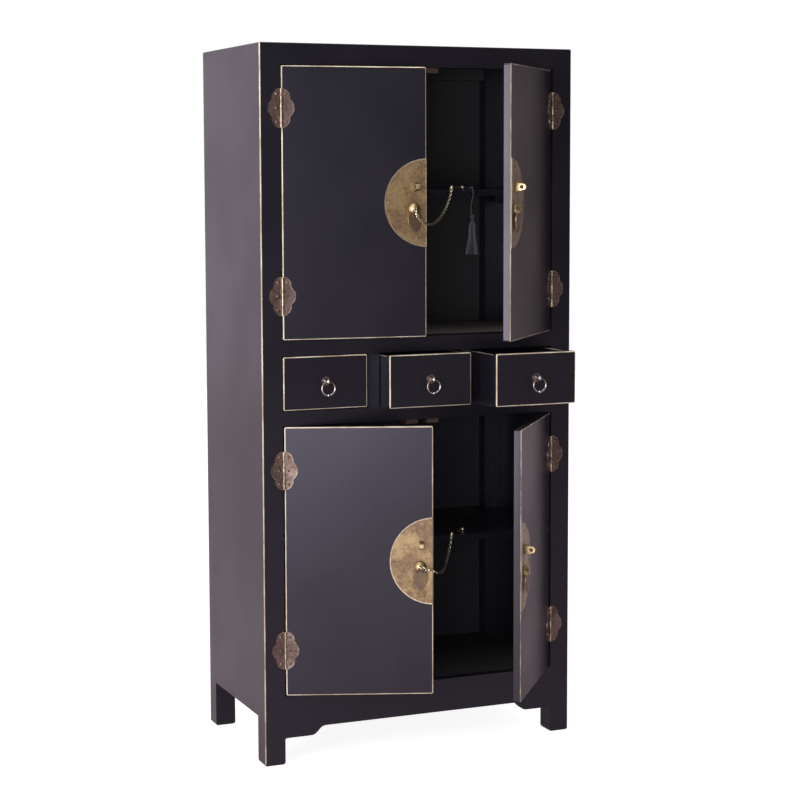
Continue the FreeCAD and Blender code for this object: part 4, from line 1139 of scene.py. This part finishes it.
class CABINET_OT_tassel(bpy.types.Operator):
    """Models the tassel: a thin cord, a bound knot and a skirt of threads"""
    bl_idname = "cabinet.tassel"
    bl_label = "Tassel"

    def execute(self, context):
        sizes = context.scene.cabinet_sizes
        door = "upper_left_door"
        cord = lines("tassel_cord_yarn", [TASSEL_CORD_ROUTE], ROUTE_STEPS)
        points = points_on(cord)
        thicken(cord, sizes.cord_diameter / 2, 3)
        cord.data.materials.append(finish("dark_viscose_yarn"))
        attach(cord, door)
        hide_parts("tassel_cord")
        knot = self.knot(points[-1])
        seat(knot, door, "tassel_yarn", "dark_viscose_yarn")
        skirt = self.skirt(points[-1], sizes)
        seat(skirt, door, "tassel_yarn", "dark_viscose_yarn", "tassel")
        total = run_of(points)
        return {"FINISHED"}

    def knot(self, end):
        """The knot and the bound neck, turned about the tassel's axis."""
        knot = turned("tassel_knot", [(r / 1000, z / 1000) for r, z in KNOT_PROFILE], KNOT_SIDES)
        return moved(knot, Matrix.Translation(end))

    def skirt(self, end, sizes):
        """Threads that spread from the neck, in a spiral of even density."""
        low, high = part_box("tassel")
        neck = end.z - NECK_DROP
        reach = (high.x - low.x) / 2 - sizes.strand_radius
        threads = []
        for i in range(sizes.strands):
            share = math.sqrt((i + 0.5) / sizes.strands)
            angle = i * GOLDEN_ANGLE
            sway = THREAD_SWAY * math.sin(3 * angle)
            foot = low.z + sizes.strand_radius + THREAD_RAGGEDNESS * (0.5 + 0.5 * math.sin(5 * angle + i))
            stations = [(neck - drop, radius) for drop, radius in SKIRT_NECK]
            stations.append(((neck + foot) / 2, SKIRT_MIDDLE))
            stations += [(foot + rise, reach * part) for rise, part in SKIRT_FOOT]
            thread = []
            for k, (z, radius) in enumerate(stations):
                a = angle + sway * k / len(stations)
                out = share * radius
                thread.append((end.x + out * math.cos(a), end.y + out * math.sin(a), z))
            threads.append(thread)
        piece = lines("tassel_skirt", threads, THREAD_STEPS)
        thicken(piece, sizes.strand_radius, 0)
        alone(piece)
        bpy.ops.object.convert(target="MESH")
        return bpy.context.object


class CABINET_OT_stage(bpy.types.Operator):
    """Sets the camera, the pale floor, the soft lights and the white background"""
    bl_idname = "cabinet.stage"
    bl_label = "Stage"

    def execute(self, context):
        stage = context.scene.cabinet_stage
        self.camera(context.scene, stage)
        self.floor(stage)
        self.world(context.scene, stage)
        for row in SOFTBOXES:
            self.softbox(*row)
        context.scene.view_settings.view_transform = "Standard"
        return {"FINISHED"}

    def camera(self, scene, stage):
        """The place and lens that the photo was taken with."""
        bpy.ops.object.select_all(action="DESELECT")
        bpy.ops.object.camera_add()
        camera = bpy.context.object
        turn = (Matrix.Rotation(-stage.camera_heading, 4, "Z")
                @ Matrix.Rotation(math.pi / 2 - stage.camera_dip, 4, "X")
                @ Matrix.Rotation(stage.camera_roll, 4, "Z"))
        camera.matrix_world = Matrix.Translation(stage.camera_place) @ turn
        camera.data.lens = stage.lens
        camera.data.shift_y = stage.shift
        scene.camera = camera

    def floor(self, stage):
        """A pale floor: white to the camera, and in reflections a white sweep behind the cabinet."""
        bpy.ops.object.select_all(action="DESELECT")
        bpy.ops.mesh.primitive_plane_add(size=stage.floor_size)
        floor = bpy.context.object
        floor.name = "pale_floor"
        material, tree, shader, place = new_material("pale_floor", Roughness=0.8)
        path = node(tree, "ShaderNodeLightPath").outputs
        mirrored = path["Is Glossy Ray"]
        depth = node(tree, "ShaderNodeVectorMath", {0: place, 1: SWEEP_WAY}, operation="DOT_PRODUCT")
        sweep = node(tree, "ShaderNodeMapRange", {"Value": depth.outputs["Value"], "From Min": SWEEP_START,
                                                  "From Max": SWEEP_FULL}).outputs["Result"]
        behind = node(tree, "ShaderNodeMath", {0: sweep, 1: mirrored}, operation="MULTIPLY")
        strength = sums(tree, (path["Is Camera Ray"], FLOOR_LIGHT), (behind.outputs["Value"], SWEEP_LIGHT))
        # Reflections see the floor tinted pink: a painted reflection colour
        tint = node(tree, "ShaderNodeMix", {"Factor": mirrored, 6: WHITE, 7: FLOOR_SHEEN}, data_type="RGBA")
        pale = linear(bpy.context.scene.cabinet_colours.floor)
        warm = [a * b for a, b in zip(pale, FLOOR_SHEEN)]
        base = node(tree, "ShaderNodeMix", {"Factor": mirrored, 6: pale, 7: warm}, data_type="RGBA")
        feed(shader, Base_Color=base.outputs[2])
        lift = node(tree, "ShaderNodeEmission", {"Color": tint.outputs[2], "Strength": strength})
        both = node(tree, "ShaderNodeAddShader", {0: shader.outputs[0], 1: lift.outputs[0]})
        tree.links.new(both.outputs[0], tree.nodes["Material Output"].inputs["Surface"])
        floor.data.materials.append(material)

    def world(self, scene, stage):
        """White for the camera; a white wall behind and to the left of the cabinet for what reflects it."""
        world = bpy.data.worlds.new("studio")
        scene.world = world
        world.use_nodes = True
        tree = world.node_tree
        tree.nodes.clear()
        path = node(tree, "ShaderNodeLightPath").outputs
        direct = path["Is Camera Ray"]
        room = node(tree, "ShaderNodeBackground", {"Color": WHITE, "Strength": stage.room_light})
        way = node(tree, "ShaderNodeTexCoord").outputs["Generated"]
        side = node(tree, "ShaderNodeVectorMath", {0: way, 1: WALL_WAY}, operation="DOT_PRODUCT")
        reach = {"Value": side.outputs["Value"], "From Min": WALL_START, "From Max": WALL_FULL,
                 "To Min": WALL_DARKEST, "To Max": WALL_BRIGHTEST}
        wall = node(tree, "ShaderNodeMapRange", reach, interpolation_type="SMOOTHSTEP").outputs["Result"]
        tint = node(tree, "ShaderNodeMix", {"Factor": wall, 6: WALL_SHADE_TINT, 7: WALL_TINT},
                    data_type="RGBA").outputs[2]
        level = node(tree, "ShaderNodeMix", {"Factor": direct, 2: wall, 3: 1.0}, data_type="FLOAT")
        colour = node(tree, "ShaderNodeMix", {"Factor": direct, 6: tint, 7: WHITE}, data_type="RGBA")
        backdrop = node(tree, "ShaderNodeBackground", {"Color": colour.outputs[2],
                                                       "Strength": level.outputs[0]})
        seen = node(tree, "ShaderNodeMath", {0: direct, 1: path["Is Glossy Ray"]}, operation="MAXIMUM")
        shown = node(tree, "ShaderNodeMath", {0: seen.outputs["Value"], 1: path["Is Transmission Ray"]},
                     operation="MAXIMUM").outputs["Value"]
        mix = node(tree, "ShaderNodeMixShader", {0: shown, 1: room.outputs[0], 2: backdrop.outputs[0]})
        node(tree, "ShaderNodeOutputWorld", {"Surface": mix.outputs[0]})

    def softbox(self, name, place, target, width, height, power, colour):
        """A rectangular soft light that faces its target."""
        bpy.ops.object.select_all(action="DESELECT")
        bpy.ops.object.light_add(type="AREA", location=place)
        lamp = bpy.context.object
        lamp.name = name
        lamp.data.shape = "RECTANGLE"
        lamp.data.size = width
        lamp.data.size_y = height
        lamp.data.energy = power
        lamp.data.color = colour
        lamp.rotation_euler = (Vector(target) - Vector(place)).to_track_quat("-Z", "Y").to_euler()


OPERATORS = (
    CABINET_OT_carcass, CABINET_OT_inside, CABINET_OT_catches, CABINET_OT_doors, CABINET_OT_hinges,
    CABINET_OT_lock_plates, CABINET_OT_lock_fittings, CABINET_OT_drop_pulls, CABINET_OT_drawer_fronts,
    CABINET_OT_ring_pulls, CABINET_OT_chains, CABINET_OT_tassel, CABINET_OT_stage)


class CABINET_PT_panel(bpy.types.Panel):
    """Lists the steps that dress the cabinet"""
    bl_label = "Cabinet"
    bl_idname = "CABINET_PT_panel"
    bl_space_type = "VIEW_3D"
    bl_region_type = "UI"
    bl_category = "Cabinet"

    def draw(self, context):
        for operator in OPERATORS:
            self.layout.operator(operator.bl_idname)
        scene = context.scene
        for group in (scene.cabinet_sizes, scene.cabinet_colours, scene.cabinet_stage):
            box = self.layout.box()
            for name in group.__annotations__:
                box.prop(group, name)


CLASSES = (CabinetSizes, CabinetColours, CabinetStage, *OPERATORS, CABINET_PT_panel)


def register():
    for cls in CLASSES:
        bpy.utils.register_class(cls)
    bpy.types.Scene.cabinet_sizes = PointerProperty(type=CabinetSizes)
    bpy.types.Scene.cabinet_colours = PointerProperty(type=CabinetColours)
    bpy.types.Scene.cabinet_stage = PointerProperty(type=CabinetStage)


def unregister():
    del bpy.types.Scene.cabinet_stage
    del bpy.types.Scene.cabinet_colours
    del bpy.types.Scene.cabinet_sizes
    for cls in reversed(CLASSES):
        bpy.utils.unregister_class(cls)


def main():
    register()
    for operator in OPERATORS:
        group, name = operator.bl_idname.split(".")
        getattr(getattr(bpy.ops, group), name)()


if __name__ == "__main__":
    main()
